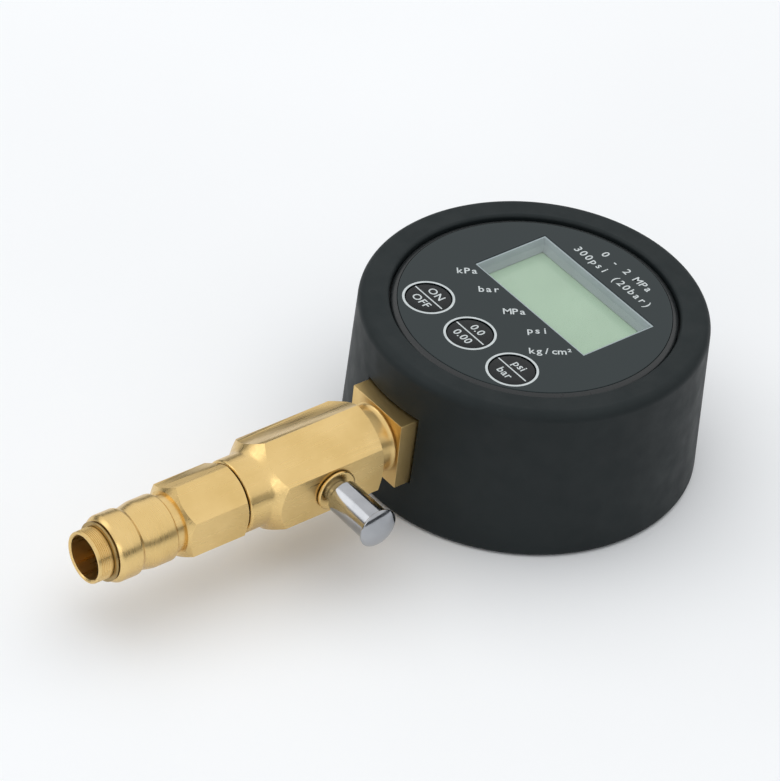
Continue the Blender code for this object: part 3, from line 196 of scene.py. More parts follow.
def brass_finish(name, stretch, rough, grain):
    """Satin brass: drawn or turned marks over warm and duller patches, and a fine speckle."""
    bright = (0.800, 0.575, 0.250)
    dull = (0.715, 0.500, 0.200)
    made, nodes, links, shader = new_material(name, bright, rough[0], 1.0)
    broad = noise(nodes, links, 110.0, 5.0)
    marks = noise(nodes, links, grain, 3.0, stretch)
    speckle = noise(nodes, links, 5200.0, 1.0)
    two_toned(nodes, links, shader, broad, bright, dull, 0.35, 0.72)
    links.new(ranged(nodes, links, marks, *rough), shader.inputs["Roughness"])
    grained = bumped(nodes, links, marks, 0.18, 0.000004)
    links.new(bumped(nodes, links, speckle, 0.10, 0.000002, grained), shader.inputs["Normal"])
    return made


def rubber_finish():
    """Charcoal rubber with a fine moulded grain, soft scuffs and a little bloom."""
    dark = (0.0085, 0.0125, 0.0135)
    bloom = (0.0118, 0.0166, 0.0176)
    made, nodes, links, shader = new_material("boot_rubber", dark, 0.5)
    shader.inputs["Specular IOR Level"].default_value = 0.24
    broad = noise(nodes, links, 45.0, 5.0)
    grain = noise(nodes, links, 5200.0, 2.0)
    scuff = noise(nodes, links, 210.0, 4.0)
    two_toned(nodes, links, shader, broad, dark, bloom)
    links.new(ranged(nodes, links, scuff, 0.50, 0.62), shader.inputs["Roughness"])
    links.new(bumped(nodes, links, grain, 0.35, 0.000030), shader.inputs["Normal"])
    return made


def panel_finish():
    """Glossy printed panel, very slightly wavy, with faint wiping marks."""
    made, nodes, links, shader = new_material("gloss_panel", (0.0030, 0.0085, 0.0100), 0.06)
    shader.inputs["Specular IOR Level"].default_value = 0.44
    shader.inputs["Specular Tint"].default_value = (0.86, 0.98, 1.0, 1.0)
    wave = noise(nodes, links, 55.0, 1.0)
    smear = noise(nodes, links, 130.0, 5.0, (3, 1, 1))
    links.new(ranged(nodes, links, smear, 0.05, 0.11), shader.inputs["Roughness"])
    links.new(bumped(nodes, links, wave, 0.25, 0.00002), shader.inputs["Normal"])
    return made


def glass_finish():
    """Clear window: a little gloss over what lies below it, stronger at a low angle."""
    made = bpy.data.materials.new("clear_window")
    made.use_nodes = True
    nodes, links = made.node_tree.nodes, made.node_tree.links
    nodes.clear()
    clear = nodes.new("ShaderNodeBsdfTransparent")
    gloss = nodes.new("ShaderNodeBsdfPrincipled")
    gloss.inputs["Base Color"].default_value = (0.9, 0.93, 0.92, 1)
    gloss.inputs["Metallic"].default_value = 1.0
    wear = ranged(nodes, links, noise(nodes, links, 300.0), 0.03, 0.07)
    links.new(wear, gloss.inputs["Roughness"])
    slope = nodes.new("ShaderNodeLayerWeight")
    slope.inputs["Blend"].default_value = 0.5
    amount = ranged(nodes, links, slope.outputs["Facing"], 0.02, 0.60, 0.36, 1.0)
    mix = nodes.new("ShaderNodeMixShader")
    links.new(amount, mix.inputs["Fac"])
    links.new(clear.outputs["BSDF"], mix.inputs[1])
    links.new(gloss.outputs["BSDF"], mix.inputs[2])
    out = nodes.new("ShaderNodeOutputMaterial")
    links.new(mix.outputs["Shader"], out.inputs["Surface"])
    return made


def display_finish():
    """Blank liquid-crystal glass: pale green, a little uneven in tone and in gloss."""
    pale = (0.352, 0.505, 0.356)
    deep = (0.315, 0.455, 0.318)
    made, nodes, links, shader = new_material("display", pale, 0.16)
    broad = noise(nodes, links, 55.0, 3.0)
    grid = noise(nodes, links, 2600.0, 1.0, (1, 1, 0))
    two_toned(nodes, links, shader, broad, pale, deep)
    links.new(ranged(nodes, links, grid, 0.13, 0.20), shader.inputs["Roughness"])
    return made


def chrome_finish():
    """Plated steel with fine lengthwise handling marks."""
    made, nodes, links, shader = new_material("chrome", (0.42, 0.43, 0.45), 0.10, 1.0)
    marks = noise(nodes, links, 900.0, 3.0, (0.15, 1, 1))
    broad = noise(nodes, links, 160.0, 4.0)
    two_toned(nodes, links, shader, broad, (0.44, 0.45, 0.47), (0.34, 0.35, 0.37))
    links.new(ranged(nodes, links, marks, 0.09, 0.20), shader.inputs["Roughness"])
    links.new(bumped(nodes, links, marks, 0.15, 0.000004), shader.inputs["Normal"])
    return made


TURNED_BRASS = brass_finish("turned_brass", (0.12, 1, 0.12), (0.25, 0.34), 2600.0)
DRAWN_BRASS = brass_finish("drawn_brass", (1, 0.06, 1), (0.24, 0.38), 1500.0)
MILLED_BRASS = brass_finish("milled_brass", (1, 1, 0.6), (0.30, 0.37), 1800.0)
SEAT_BRASS = brass_finish("seat_brass", (1, 0.15, 0.15), (0.22, 0.36), 2600.0)
RUBBER = rubber_finish()
PANEL = panel_finish()
GLASS = glass_finish()
DISPLAY = display_finish()
CHROME = chrome_finish()
BEZEL = surface("bezel_plastic", (0.0125, 0.0150, 0.0160), (0.0165, 0.0190, 0.0200),
                (0.26, 0.38), grain=2500.0)
KEY_TOP = surface("key_membrane", (0.0085, 0.0100, 0.0110), (0.0110, 0.0130, 0.0140),
                  (0.30, 0.42), grain=1800.0, specular=0.22)
PRINT = surface("white_print", (0.62, 0.66, 0.66), (0.50, 0.54, 0.54),
                (0.42, 0.58), patch=900.0)
PALE = surface("pale_plastic", (0.330, 0.385, 0.400), (0.370, 0.425, 0.440),
               (0.40, 0.55), patch=120.0)
DIFFUSER = surface("diffuser", (0.78, 0.80, 0.78), (0.70, 0.74, 0.70), (0.35, 0.50))
CASE = surface("case_plastic", (0.018, 0.018, 0.020), (0.026, 0.026, 0.028), (0.42, 0.58))
BOARD = surface("circuit_board", (0.015, 0.110, 0.040), (0.025, 0.160, 0.055),
                (0.35, 0.50), patch=400.0)
SWITCH = surface("switch_tin", (0.50, 0.50, 0.48), (0.38, 0.38, 0.37),
                 (0.30, 0.46), 1.0, patch=500.0)
CELL = surface("battery_wrap", (0.060, 0.075, 0.110), (0.080, 0.095, 0.130),
               (0.28, 0.40), patch=200.0)
LEAD = surface("lead_sheath", (0.32, 0.018, 0.015), (0.24, 0.014, 0.012),
               (0.40, 0.55), patch=300.0)
STEEL = surface("plated_steel", (0.56, 0.57, 0.56), (0.43, 0.44, 0.43),
                (0.24, 0.38), 1.0, patch=400.0)
BRONZE = surface("spring_bronze", (0.430, 0.300, 0.120), (0.340, 0.235, 0.095),
                 (0.28, 0.42), 1.0, patch=500.0)
SEAL = surface("seal_rubber", (0.012, 0.012, 0.013), (0.020, 0.020, 0.021),
               (0.50, 0.66), patch=300.0)
DARK_CARD = surface("dark_card", (0.090, 0.094, 0.098), (0.120, 0.125, 0.130),
                    (0.80, 0.95), patch=8.0)

# Finishes of the frame's nodes that keep their own shape; the others are plated steel
NODE_FINISHES = (
    (DISPLAY, ("lcd_glass",)),
    (DIFFUSER, ("lcd_backlight",)),
    (CASE, ("gauge_case", "rear_cover", "battery_door")),
    (BOARD, ("circuit_board",)),
    (CELL, ("battery_cell_a", "battery_cell_b")),
    (LEAD, ("sensor_lead", "battery_lead_left", "battery_lead_right")),
    (SEAL, ("socket_oring", "mouth_seal", "bleed_disc")),
    (TURNED_BRASS, ("socket_nut",)),
    (SWITCH, ("tact_switch_left", "tact_switch_middle", "tact_switch_right")),
)


# Shapes

def new_object(name, data):
    """A new object in the scene."""
    made = bpy.data.objects.new(name, data)
    bpy.context.scene.collection.objects.link(made)
    return made


def new_piece(name, build, finish, smooth_degrees=32):
    """Make a bmesh into a piece whose points are already in place."""
    bmesh.ops.remove_doubles(build, verts=build.verts, dist=SAME_PLACE)
    bmesh.ops.recalc_face_normals(build, faces=build.faces)
    mesh = bpy.data.meshes.new(name)
    build.to_mesh(mesh)
    build.free()
    mesh.materials.append(finish)
    mesh.shade_smooth()
    mesh.set_sharp_from_angle(angle=math.radians(smooth_degrees))
    return new_object(name, mesh)


def circle(radius, steps):
    """Points of a circle about the origin."""
    angles = [2 * math.pi * i / steps for i in range(steps)]
    return [(radius * math.cos(angle), radius * math.sin(angle)) for angle in angles]


def bridge(build, first, second):
    """Faces between two rings of points, with triangles where a ring is a single point."""
    for i in range(len(first)):
        j = (i + 1) % len(first)
        corners = []
        for vertex in (first[i], second[i], second[j], first[j]):
            if vertex not in corners:
                corners.append(vertex)
        if len(corners) > 2:
            build.faces.new(corners)


def lathe(profile, steps, turn=UPRIGHT):
    """Revolve a profile; one that is off the axis at both ends is closed into a ring."""
    build = bmesh.new()
    rings = []
    for radius, height in profile:
        if radius < SAME_PLACE:
            rings.append([build.verts.new(turn @ Vector((0, 0, height)))] * steps)
        else:
            rings.append([build.verts.new(turn @ Vector((x, y, height)))
                          for x, y in circle(radius, steps)])
    pairs = list(zip(rings, rings[1:]))
    if profile[0][0] > SAME_PLACE and profile[-1][0] > SAME_PLACE:
        pairs.append((rings[-1], rings[0]))
    for upper, lower in pairs:
        bridge(build, upper, lower)
    return build


def rounded(profile, amounts, steps=3):
    """Round the numbered corners of a profile; amounts maps a point's index to its radius."""
    result = []
    count = len(profile)
    most = 0.49    # of an edge, so that two roundings never meet
    for i, point in enumerate(profile):
        radius = amounts.get(i)
        if not radius:
            result.append(point)
            continue
        here = Vector(point)
        before = Vector(profile[(i - 1) % count]) - here
        after = Vector(profile[(i + 1) % count]) - here
        reach = min(radius, before.length * most, after.length * most)
        first = here + before.normalized() * reach
        last = here + after.normalized() * reach
        for k in range(steps + 1):
            t = k / steps
            spot = first * (1 - t) ** 2 + here * 2 * t * (1 - t) + last * t * t
            result.append((spot.x, spot.y))
    return result


def arc(centre_radius, centre_height, radius, first, last, steps=8):
    """Profile points of an arc between two angles in degrees."""
    points = []
    for i in range(steps + 1):
        angle = math.radians(first + (last - first) * i / steps)
        points.append((centre_radius + radius * math.cos(angle),
                       centre_height + radius * math.sin(angle)))
    return points


def turned(name, profile, finish, turn=UPRIGHT, steps=STEM_STEPS, rounds=None, smooth=32):
    """A piece revolved from a profile with some of its corners rounded."""
    return new_piece(name, lathe(rounded(profile, rounds or {}), steps, turn), finish, smooth)


def box_build(size, centre):
    build = bmesh.new()
    matrix = Matrix.Translation(centre) @ Matrix.Diagonal((*size, 1.0))
    bmesh.ops.create_cube(build, size=1.0, matrix=matrix)
    return build


def prism_build(radius, length, place, sides):
    """A prism or rod of so many sides, its middle at the origin of place."""
    build = bmesh.new()
    bmesh.ops.create_cone(build, cap_ends=True, segments=sides, radius1=radius,
                          radius2=radius, depth=length, matrix=place)
    return build


def hexagon_build(flats, start, end):
    """A hexagonal bar between two stations of the stem."""
    middle = ALONG_STEM @ Matrix.Translation((0, 0, (start + end) / 2))
    return prism_build(flats / math.sqrt(3), end - start, middle, 6)


def cutter(build):
    """A tool for a boolean, deleted once it has cut."""
    mesh = bpy.data.meshes.new("tool")
    bmesh.ops.recalc_face_normals(build, faces=build.faces)
    build.to_mesh(mesh)
    build.free()
    return new_object("tool", mesh)


def settle(piece):
    """Keep what the modifiers show as the piece's own mesh."""
    graph = bpy.context.evaluated_depsgraph_get()
    mesh = bpy.data.meshes.new_from_object(piece.evaluated_get(graph))
    piece.modifiers.clear()
    piece.data = mesh


def combined(piece, operation, tools):
    """Cut a piece with tool objects or join them to it, and delete the tools."""
    for tool in tools:
        change = piece.modifiers.new("shape", "BOOLEAN")
        change.operation = operation
        change.solver = "EXACT"
        change.object = tool
    settle(piece)
    for tool in tools:
        bpy.data.objects.remove(tool)


def shaped(piece, operation, *builds):
    """Cut or join a piece with bmeshes."""
    combined(piece, operation, [cutter(build) for build in builds])


def broken_edges(piece, width, segments=2, degrees=24):
    """Small worn roundings on a piece's edges, with flat faces kept flat in the shading."""
    bevel = piece.modifiers.new("edges", "BEVEL")
    bevel.width = width
    bevel.segments = segments
    bevel.limit_method = "ANGLE"
    bevel.angle_limit = math.radians(degrees)
    bevel.use_clamp_overlap = True
    settle(piece)
    piece.data.shade_smooth()
    piece.data.set_sharp_from_angle(angle=math.radians(SHARP_DEGREES))
    weighted = piece.modifiers.new("flats", "WEIGHTED_NORMAL")
    weighted.keep_sharp = True


def take(piece, body, slot, *nodes):
    """Let a piece ride its body in the place of the frame's own nodes."""
    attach(piece, body)
    if nodes:
        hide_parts(*nodes)


# The gauge's head

def wall_radius(z):
    """The boot's wall widens a little towards its base."""
    return WALL_RADIUS + (BASE_RADIUS - WALL_RADIUS) * (WALL_TOP - z) / (WALL_TOP - WALL_BASE)


def boot():
    """Rubber cup with a full outer edge, a soft inner lip and a snug window for the block."""
    wall_levels = (0.0330, 0.0300, BLOCK_TOP + BLOCK_GAP, BLOCK_BASE - BLOCK_GAP, 0.0100, 0.0060)
    profile = [(0, 0.0023), (0.0372, 0.0023), (0.0372, 0.0374), (0.0330, 0.0374)]
    profile += arc(0.0338, 0.0392, 0.0008, 180, 90, 6)
    profile += arc(0.0376, WALL_TOP, 0.0024, 90, 2, 12)
    profile += [(wall_radius(z), z) for z in wall_levels]
    profile += arc(0.0395, WALL_BASE, 0.0015, 2, -90, 8)
    profile += [(0.0300, 0.0), (0.0292, 0.0004), (0.0200, 0.0004), (0.0, 0.0004)]
    piece = turned("boot", profile, RUBBER, steps=ROUND_STEPS, smooth=40)
    side = BLOCK_SIDE + 2 * BLOCK_GAP
    shaped(piece, "DIFFERENCE", box_build((side, 0.020, side), (0, -0.042, AXIS_HEIGHT)))
    broken_edges(piece, 0.00030, degrees=40)
    take(piece, "gauge", "boot_rubber", "rubber_boot")


def bezel_ring():
    """Sloping black ring between the boot's lip and the panel."""
    profile = [(0.03125, 0.0395), (0.03275, 0.0387), (0.03275, 0.0371), (0.0369, 0.0371),
               (0.0369, 0.0350), (0.0346, 0.0350), (0.0346, 0.0330), (0.0306, 0.0330),
               (0.0306, 0.0380), (0.03125, 0.0380)]
    rounds = {0: 0.0002, 1: 0.0005}
    piece = turned("bezel_ring", profile, BEZEL, steps=ROUND_STEPS, rounds=rounds)
    take(piece, "gauge", "case_plastic", "bezel")


def face_plate():
    """Gloss disc with its window and key holes."""
    depth = 0.006
    bottom = FACE_TOP - FACE_THICKNESS
    profile = [(0, FACE_TOP), (FACE_RADIUS, FACE_TOP), (FACE_RADIUS, bottom), (0, bottom)]
    piece = turned("face_plate", profile, PANEL, steps=ROUND_STEPS, rounds={1: 0.0002})
    x, y, width, height = WINDOW
    builds = [box_build((width, height, depth), (x, y, FACE_TOP))]
    for key_x in KEYS.values():
        place = Matrix.Translation((key_x, KEY_Y, FACE_TOP))
        builds.append(prism_build(KEY_RADIUS + KEY_GAP, depth, place, KEY_STEPS))
    shaped(piece, "DIFFERENCE", *builds)
    broken_edges(piece, 0.00012, degrees=50)
    take(piece, "gauge", "panel", "face_panel")


def window_loop(build, grow, level):
    """Corners of the display's opening, moved outwards by a distance, at one level."""
    x, y, width, height = WINDOW
    signs = [(-1, -1), (1, -1), (1, 1), (-1, 1)]
    return [build.verts.new((x + a * (width / 2 + grow), y + b * (height / 2 + grow), level))
            for a, b in signs]


def display_front():
    """Pale frame whose inner walls slope down to the display, and the clear lens in its lip."""
    outline = [(-0.00045, 0.03935), (-0.00002, 0.03935), (-0.00002, 0.0380), (0.0014, 0.0380),
               (0.0014, 0.0320), (0.0008, 0.0320), (0.0008, 0.03602), (-0.0014, 0.03602)]
    build = bmesh.new()
    loops = [window_loop(build, grow, level) for grow, level in outline]
    for first, second in zip(loops, loops[1:] + loops[:1]):
        bridge(build, first, second)
    rim = new_piece("display_frame", build, PALE)
    broken_edges(rim, 0.00012, degrees=30)
    take(rim, "gauge", "pale_plastic", "lcd_frame")
    x, y, width, height = WINDOW
    margin, thickness, middle = 0.0010, 0.0010, 0.03885
    size = (width - margin, height - margin, thickness)
    lens = new_piece("display_lens", box_build(size, (x, y, middle)), GLASS)
    broken_edges(lens, 0.00010, 1, 30)
    take(lens, "gauge", "clear", "lcd_window")


def key_caps():
    """Keys whose thin tops dip towards the edge; each keeps its flange and its stem."""
    profile = [(0, 0.0), (0.0035, -0.00001), (0.0047, -0.00005), (KEY_RADIUS, -0.00020),
               (KEY_RADIUS, -0.0015), (0.00575, -0.0015), (0.00575, -0.0021),
               (0.0016, -0.0021), (0.0016, -0.0029), (0, -0.0029)]
    for side, x in KEYS.items():
        place = Matrix.Translation((x, KEY_Y, FACE_TOP))
        piece = turned(f"key_cap_{side}", profile, KEY_TOP, place, KEY_STEPS)
        take(piece, f"{side}_key", "panel", f"key_{side}")


# Lettering: plain numbers, units and words for on and off

def letters(text, place, degrees=0.0):
    """Flat printed text as a bmesh, lying in the dial's plane and centred on a place."""
    curve = bpy.data.curves.new("text", "FONT")
    curve.body = text
    curve.size = LETTER_SIZE
    curve.align_x = "CENTER"
    curve.align_y = "CENTER"
    curve.resolution_u = 3
    curve.space_character = LETTER_SPACING
    curve.offset = LETTER_SIZE * LETTER_BOLDNESS
    holder = new_object("text", curve)
    graph = bpy.context.evaluated_depsgraph_get()
    mesh = bpy.data.meshes.new_from_object(holder.evaluated_get(graph))
    bpy.data.objects.remove(holder)
    build = bmesh.new()
    build.from_mesh(mesh)
    build.transform(Matrix.Translation(place) @ Matrix.Rotation(math.radians(degrees), 4, "Z"))
    return build


def typed(text, advance, place, degrees):
    """Evenly spaced letters about a middle point, as a plain instrument typeface sets them."""
    angle = math.radians(degrees)
    builds = []
    for i, letter in enumerate(text):
        if letter == " ":
            continue
        along = (i - (len(text) - 1) / 2) * advance
        spot = (place[0] + along * math.cos(angle), place[1] + along * math.sin(angle), place[2])
        builds.append(letters(letter, spot, degrees))
    return builds


def printed(name, builds, body):
    """Thin ink on a face: the flat shapes are given a hair of thickness."""
    joined = bmesh.new()
    for build in builds:
        mesh = bpy.data.meshes.new("ink")
        build.to_mesh(mesh)
        build.free()
        joined.from_mesh(mesh)
        bpy.data.meshes.remove(mesh)
    for face in joined.faces:
        if face.normal.z < 0:
            face.normal_flip()
    top = bmesh.ops.extrude_face_region(joined, geom=joined.faces[:])
    lifted = [item for item in top["geom"] if isinstance(item, bmesh.types.BMVert)]
    bmesh.ops.translate(joined, verts=lifted, vec=(0, 0, INK_THICKNESS))
    take(new_piece(name, joined, PRINT), body, "panel")


def ring_build(inner, outer, place):
    """A flat ring about a place."""
    build = bmesh.new()
    rings = [[build.verts.new(Vector(place) + Vector((x, y, 0)))
              for x, y in circle(radius, KEY_STEPS)] for radius in (inner, outer)]
    bridge(build, *rings)
    return build


def bar_build(width, height, place):
    """A flat bar about a place."""
    build = bmesh.new()
    x, y, z = place
    corners = [(-1, -1), (1, -1), (1, 1), (-1, 1)]
    build.faces.new([build.verts.new((x + a * width / 2, y + b * height / 2, z))
                     for a, b in corners])
    return build


def lettering():
    """Range and units on the panel with a ring round each key, and a bar and two words on it."""
    builds = []
    for text, advance, place, degrees in RANGE_LINES:
        builds += typed(text, advance, place, degrees)
    for text, x in UNIT_ENDS:
        reach = UNIT_ADVANCE * len(text) / 2
        middle = (x - reach * math.cos(UNIT_SLANT), UNIT_END_Y - reach * math.sin(UNIT_SLANT),
                  INK_LEVEL)
        builds += typed(text, UNIT_ADVANCE, middle, math.degrees(UNIT_SLANT))
    for x in KEYS.values():
        builds.append(ring_build(*KEY_RING, (x, KEY_Y, INK_LEVEL)))
    printed("panel_print", builds, "gauge")
    for side, x in KEYS.items():
        shapes = [bar_build(*KEY_BAR, (x, KEY_Y, INK_LEVEL))]
        for word, y in zip(KEY_WORDS[side], KEY_WORD_Y):
            shapes.append(letters(word, (x, KEY_Y + y, INK_LEVEL)))
        printed(f"key_print_{side}", shapes, f"{side}_key")


# The brass train

def socket():
    """Square block with a fillet to its neck, the thread and the shank."""
    size = (BLOCK_SIDE, BLOCK_FRONT - BLOCK_BACK, BLOCK_SIDE)
    block = box_build(size, (0, -(BLOCK_FRONT + BLOCK_BACK) / 2, AXIS_HEIGHT))
    piece = new_piece("socket_block", block, MILLED_BRASS)
    stem = lathe([(0, 0.0582), (0.0052, 0.0582), (0.0060, 0.0574), (0.0060, 0.0502),
                  (0.0053, 0.0502), (0.0053, 0.0482), (0.0067, 0.0482), (0.0075, 0.0474),
                  (0.0075, 0.0450), (0.0076, 0.0444), (0.0078, 0.0440), (0.0082, 0.0437),
                  (0.0082, 0.0420), (0, 0.0420)], STEM_STEPS, ALONG_STEM)
    shank = lathe([(0, 0.0390), (0.0060, 0.0390), (0.0060, 0.0246), (0.0054, 0.0240),
                   (0, 0.0240)], STEM_STEPS, ALONG_STEM)
    shaped(piece, "UNION", stem, shank)
    bore = lathe([(0, 0.0600), (BORE_RADIUS, 0.0600), (BORE_RADIUS, 0.0285),
                  (0.0033, 0.0285), (0.0033, 0.0230), (0, 0.0230)], BORE_STEPS, ALONG_STEM)
    shaped(piece, "DIFFERENCE", bore)
    broken_edges(piece, 0.00060, 3, 50)
    take(piece, "gauge", "brass", "gauge_socket")


def hexagon_bar(name, blank, flats, start, end):
    """A turned blank milled to six flats between two stations."""
    overshoot = 0.001
    piece = turned(name, blank, DRAWN_BRASS, ALONG_STEM)
    shell = cutter(hexagon_build(flats * 3, start, end))
    shaped(shell, "DIFFERENCE", hexagon_build(flats, start - overshoot, end + overshoot))
    combined(piece, "DIFFERENCE", [shell])
    return piece


def valve_bar():
    """Large hexagon, its chamfered ends, the cone and the collar."""
    corner = HEX_FLATS / math.sqrt(3)
    blank = [(0.0053, 0.0840)] + arc(0.0079, 0.0833, 0.0007, 90, 0, 5)
    blank += [(0.0086, 0.0790), (0.0088, 0.0783), (0.0093, 0.0776), (corner, 0.0752),
              (corner, 0.0496), (0.0096, 0.0485), (0.0070, 0.0485), (0.0070, 0.0502),
              (0.0063, 0.0502), (0.0063, 0.0585), (BORE_RADIUS, 0.0585),
              (BORE_RADIUS, 0.0755), (0.0053, 0.0755)]
    piece = hexagon_bar("valve_bar", blank, HEX_FLATS, 0.0470, 0.0792)
    hole = lathe([(0, 0.0120), (0.0033, 0.0120), (0.0033, 0.0043), (0.0026, 0.0043),
                  (0.0026, 0.0007), (0, 0.0007)], BORE_STEPS, ALONG_VALVE)
    shaped(piece, "DIFFERENCE", hole)
    broken_edges(piece, 0.00016)
    take(piece, "gauge", "brass", "valve_body")


def coupler_bar():
    """Small hexagon, stepped barrel and hollow nose with a fine rim and turned ridges."""
    corner = COUPLER_FLATS / math.sqrt(3)
    blank = [(0.00545, MOUTH_STATION), (0.00570, MOUTH_STATION), (0.00592, 0.12262),
             (0.0060, 0.1224)]
    for i in range(RIDGE_COUNT):
        crest = RIDGE_START - RIDGE_PITCH * i
        blank += [(0.0060, crest), (0.00584, crest - 0.00011), (0.00584, crest - 0.00019),
                  (0.0060, crest - 0.00030)]
    blank += [(0.0060, 0.11905), (0.0056, 0.11905), (0.0056, 0.11815), (0.0060, 0.11815),
              (0.0060, 0.1053), (0.0067, 0.1053), (0.0067, 0.1003), (0.0074, 0.1003),
              (corner, 0.0989), (corner, 0.0851), (0.0080, 0.0843), (0.0050, 0.0843),
              (0.0050, 0.0764), (0.0044, 0.0758), (BORE_RADIUS, 0.0758),
              (BORE_RADIUS, 0.1074), (0.00515, 0.1074), (0.00515, 0.1224)]
    piece = hexagon_bar("coupler_bar", blank, COUPLER_FLATS, 0.0840, 0.1006)
    holes = []
    for i in range(BALL_COUNT):
        way = Matrix.Rotation(2 * math.pi * (i + 0.5) / BALL_COUNT, 4, "Y")
        middle = Vector((0, 0, BALL_HOLE_DEPTH / 2))
        centre = Matrix.Translation((0, -BALL_STATION, AXIS_HEIGHT)) @ way @ middle
        place = Matrix.Translation(centre) @ way
        holes.append(prism_build(BALL_HOLE_RADIUS, BALL_HOLE_DEPTH, place, 24))
    shaped(piece, "DIFFERENCE", *holes)
    broken_edges(piece, 0.00014)
    take(piece, "gauge", "brass", "coupler_body")


def sleeve():
    """Sliding sleeve: two soft-edged rings, a waist between and a chamfered front."""
    profile = [(0.0070, 0.1180), (0.00755, 0.1173), (0.0078, 0.1168), (0.0078, 0.1123),
               (0.00722, 0.1116), (0.00728, 0.1104), (0.0078, 0.1078), (0.0078, 0.1031),
               (0.0074, 0.1027), (0.00695, 0.1027), (0.00695, 0.1116), (0.00635, 0.1116),
               (0.00635, 0.1135), (0.00715, 0.1155), (0.00715, 0.1165), (0.00625, 0.1168),
               (0.00625, 0.1180)]
    rounds = {0: 0.00018, 1: 0.0003, 2: 0.0004, 3: 0.00035, 4: 0.0003, 5: 0.0003,
              6: 0.00035, 7: 0.0003, 8: 0.0002, 16: 0.00015}
    piece = turned("sleeve_grip", profile, TURNED_BRASS, ALONG_STEM, SLEEVE_STEPS, rounds)
    take(piece, "sleeve", "brass", "coupler_sleeve")


def snap_ring():
    """Split ring that holds the sleeve on the nose."""
    profile = [(0.0069, 0.1189), (0.0069, 0.1183), (0.00575, 0.1183), (0.00575, 0.1189)]
    rounds = {0: 0.00015, 1: 0.00015}
    piece = turned("snap_ring", profile, BRONZE, ALONG_STEM, rounds=rounds)
    gap = box_build((0.0040, 0.0024, 0.0138), (0, -0.1186, AXIS_HEIGHT - 0.0069))
    shaped(piece, "DIFFERENCE", gap)
    broken_edges(piece, 0.00006, 1, 50)
    take(piece, "gauge", "steel", "retaining_ring")


def bleed_valve():
    """Brass bush on the hexagon's flat, its plated guide, and the chromed button over it."""
    bush = [(0.0047, 0.0109), (0.0050, 0.0107), (0.0050, 0.0103), (0.0030, 0.0103),
            (0.0030, 0.0046), (0.0011, 0.0046), (0.0011, 0.0109)]
    rounds = {0: 0.0002, 1: 0.0002}
    piece = turned("bleed_bush", bush, SEAT_BRASS, ALONG_VALVE, rounds=rounds)
    take(piece, "gauge", "brass", "bleed_seat")
    guide = [(0.0026, 0.0170), (0.0029, 0.0167), (0.0029, 0.0110), (0.0011, 0.0110),
             (0.0011, 0.0170)]
    piece = turned("bleed_guide", guide, CHROME, ALONG_VALVE, VALVE_GUIDE_STEPS)
    take(piece, "gauge", "brass", "bleed_seat")
    button = [(0, 0.0269), (0.0012, 0.02686), (0.0024, 0.02668), (0.0034, 0.02640),
              (0.0042, 0.02605), (0.0048, 0.02560), (0.0048, 0.0253), (0.0045, 0.0250),
              (0.00405, 0.0250), (0.00405, 0.0129), (0.00375, 0.0126), (0.00315, 0.0126),
              (0.00315, 0.0241), (0.0011, 0.0241), (0.0011, 0.0252), (0, 0.0252)]
    rounds = {5: 0.0003, 6: 0.00012, 7: 0.00012, 9: 0.0002}
    piece = turned("button_cap", button, CHROME, ALONG_VALVE, rounds=rounds, smooth=30)
    take(piece, "bleed_valve", "chrome", "bleed_button")


def coil(name, turn, radius, wire, start, end, turns):
    """Round-wire compression spring between two stations of an axis."""
    steps_per_turn, sides = 40, 12
    steps = int(turns * steps_per_turn)
    build = bmesh.new()
    rings = []
    for i in range(steps + 1):
        angle = 2 * math.pi * turns * i / steps
        middle = start + wire + (end - start - 2 * wire) * i / steps
        ring = []
        for across, along in circle(wire, sides):
            reach = radius + across
            spot = (reach * math.cos(angle), reach * math.sin(angle), middle + along)
            ring.append(build.verts.new(turn @ Vector(spot)))
        rings.append(ring)
    for first, second in zip(rings, rings[1:]):
        bridge(build, first, second)
    build.faces.new(rings[0])
    build.faces.new(rings[-1])
    return new_piece(name, build, STEEL)


def springs():
    """Springs of the bleed button and the sleeve, each built at one fixed length."""
    pressed = coil("bleed_coil", ALONG_VALVE, radius=0.001975, wire=0.0002,
                   start=0.01730, end=0.02378, turns=5.0)
    take(pressed, "gauge", "steel", "bleed_spring")
    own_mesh(pressed)
    drawn = coil("sleeve_coil", ALONG_STEM, radius=0.006475, wire=0.00025,
                 start=0.10562, end=0.11125, turns=3.5)
    take(drawn, "gauge", "steel", "sleeve_spring")
    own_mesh(drawn)


def carried_nodes():
    """Give the frame's own nodes their finishes."""
    finishes = {name: finish for finish, names in NODE_FINISHES for name in names}
    for name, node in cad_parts.items():
        for slot in node.material_slots:
            slot.material = finishes.get(name, STEEL)


# Studio

def camera():
    """The photograph's standpoint, with a longer lens turned to the gauge."""
    place = Vector((0.67987, -0.64727, 0.75734))
    target = Vector((-0.00605, -0.03515, 0.02545))
    up = Vector((-0.53805, 0.32633, 0.77718))
    lens_pixels = 5250
    longer_side = 781
    data = bpy.data.cameras.new("camera")
    data.sensor_width = 36.0
    data.lens = lens_pixels / longer_side * data.sensor_width
    data.clip_start = 0.01
    data.clip_end = 20.0
    holder = new_object("camera", data)
    forward = (target - place).normalized()
    right = forward.cross(up).normalized()
    axes = Matrix((right, right.cross(forward), -forward)).transposed()
    holder.matrix_world = Matrix.Translation(place) @ axes.to_4x4()
    bpy.context.scene.camera = holder


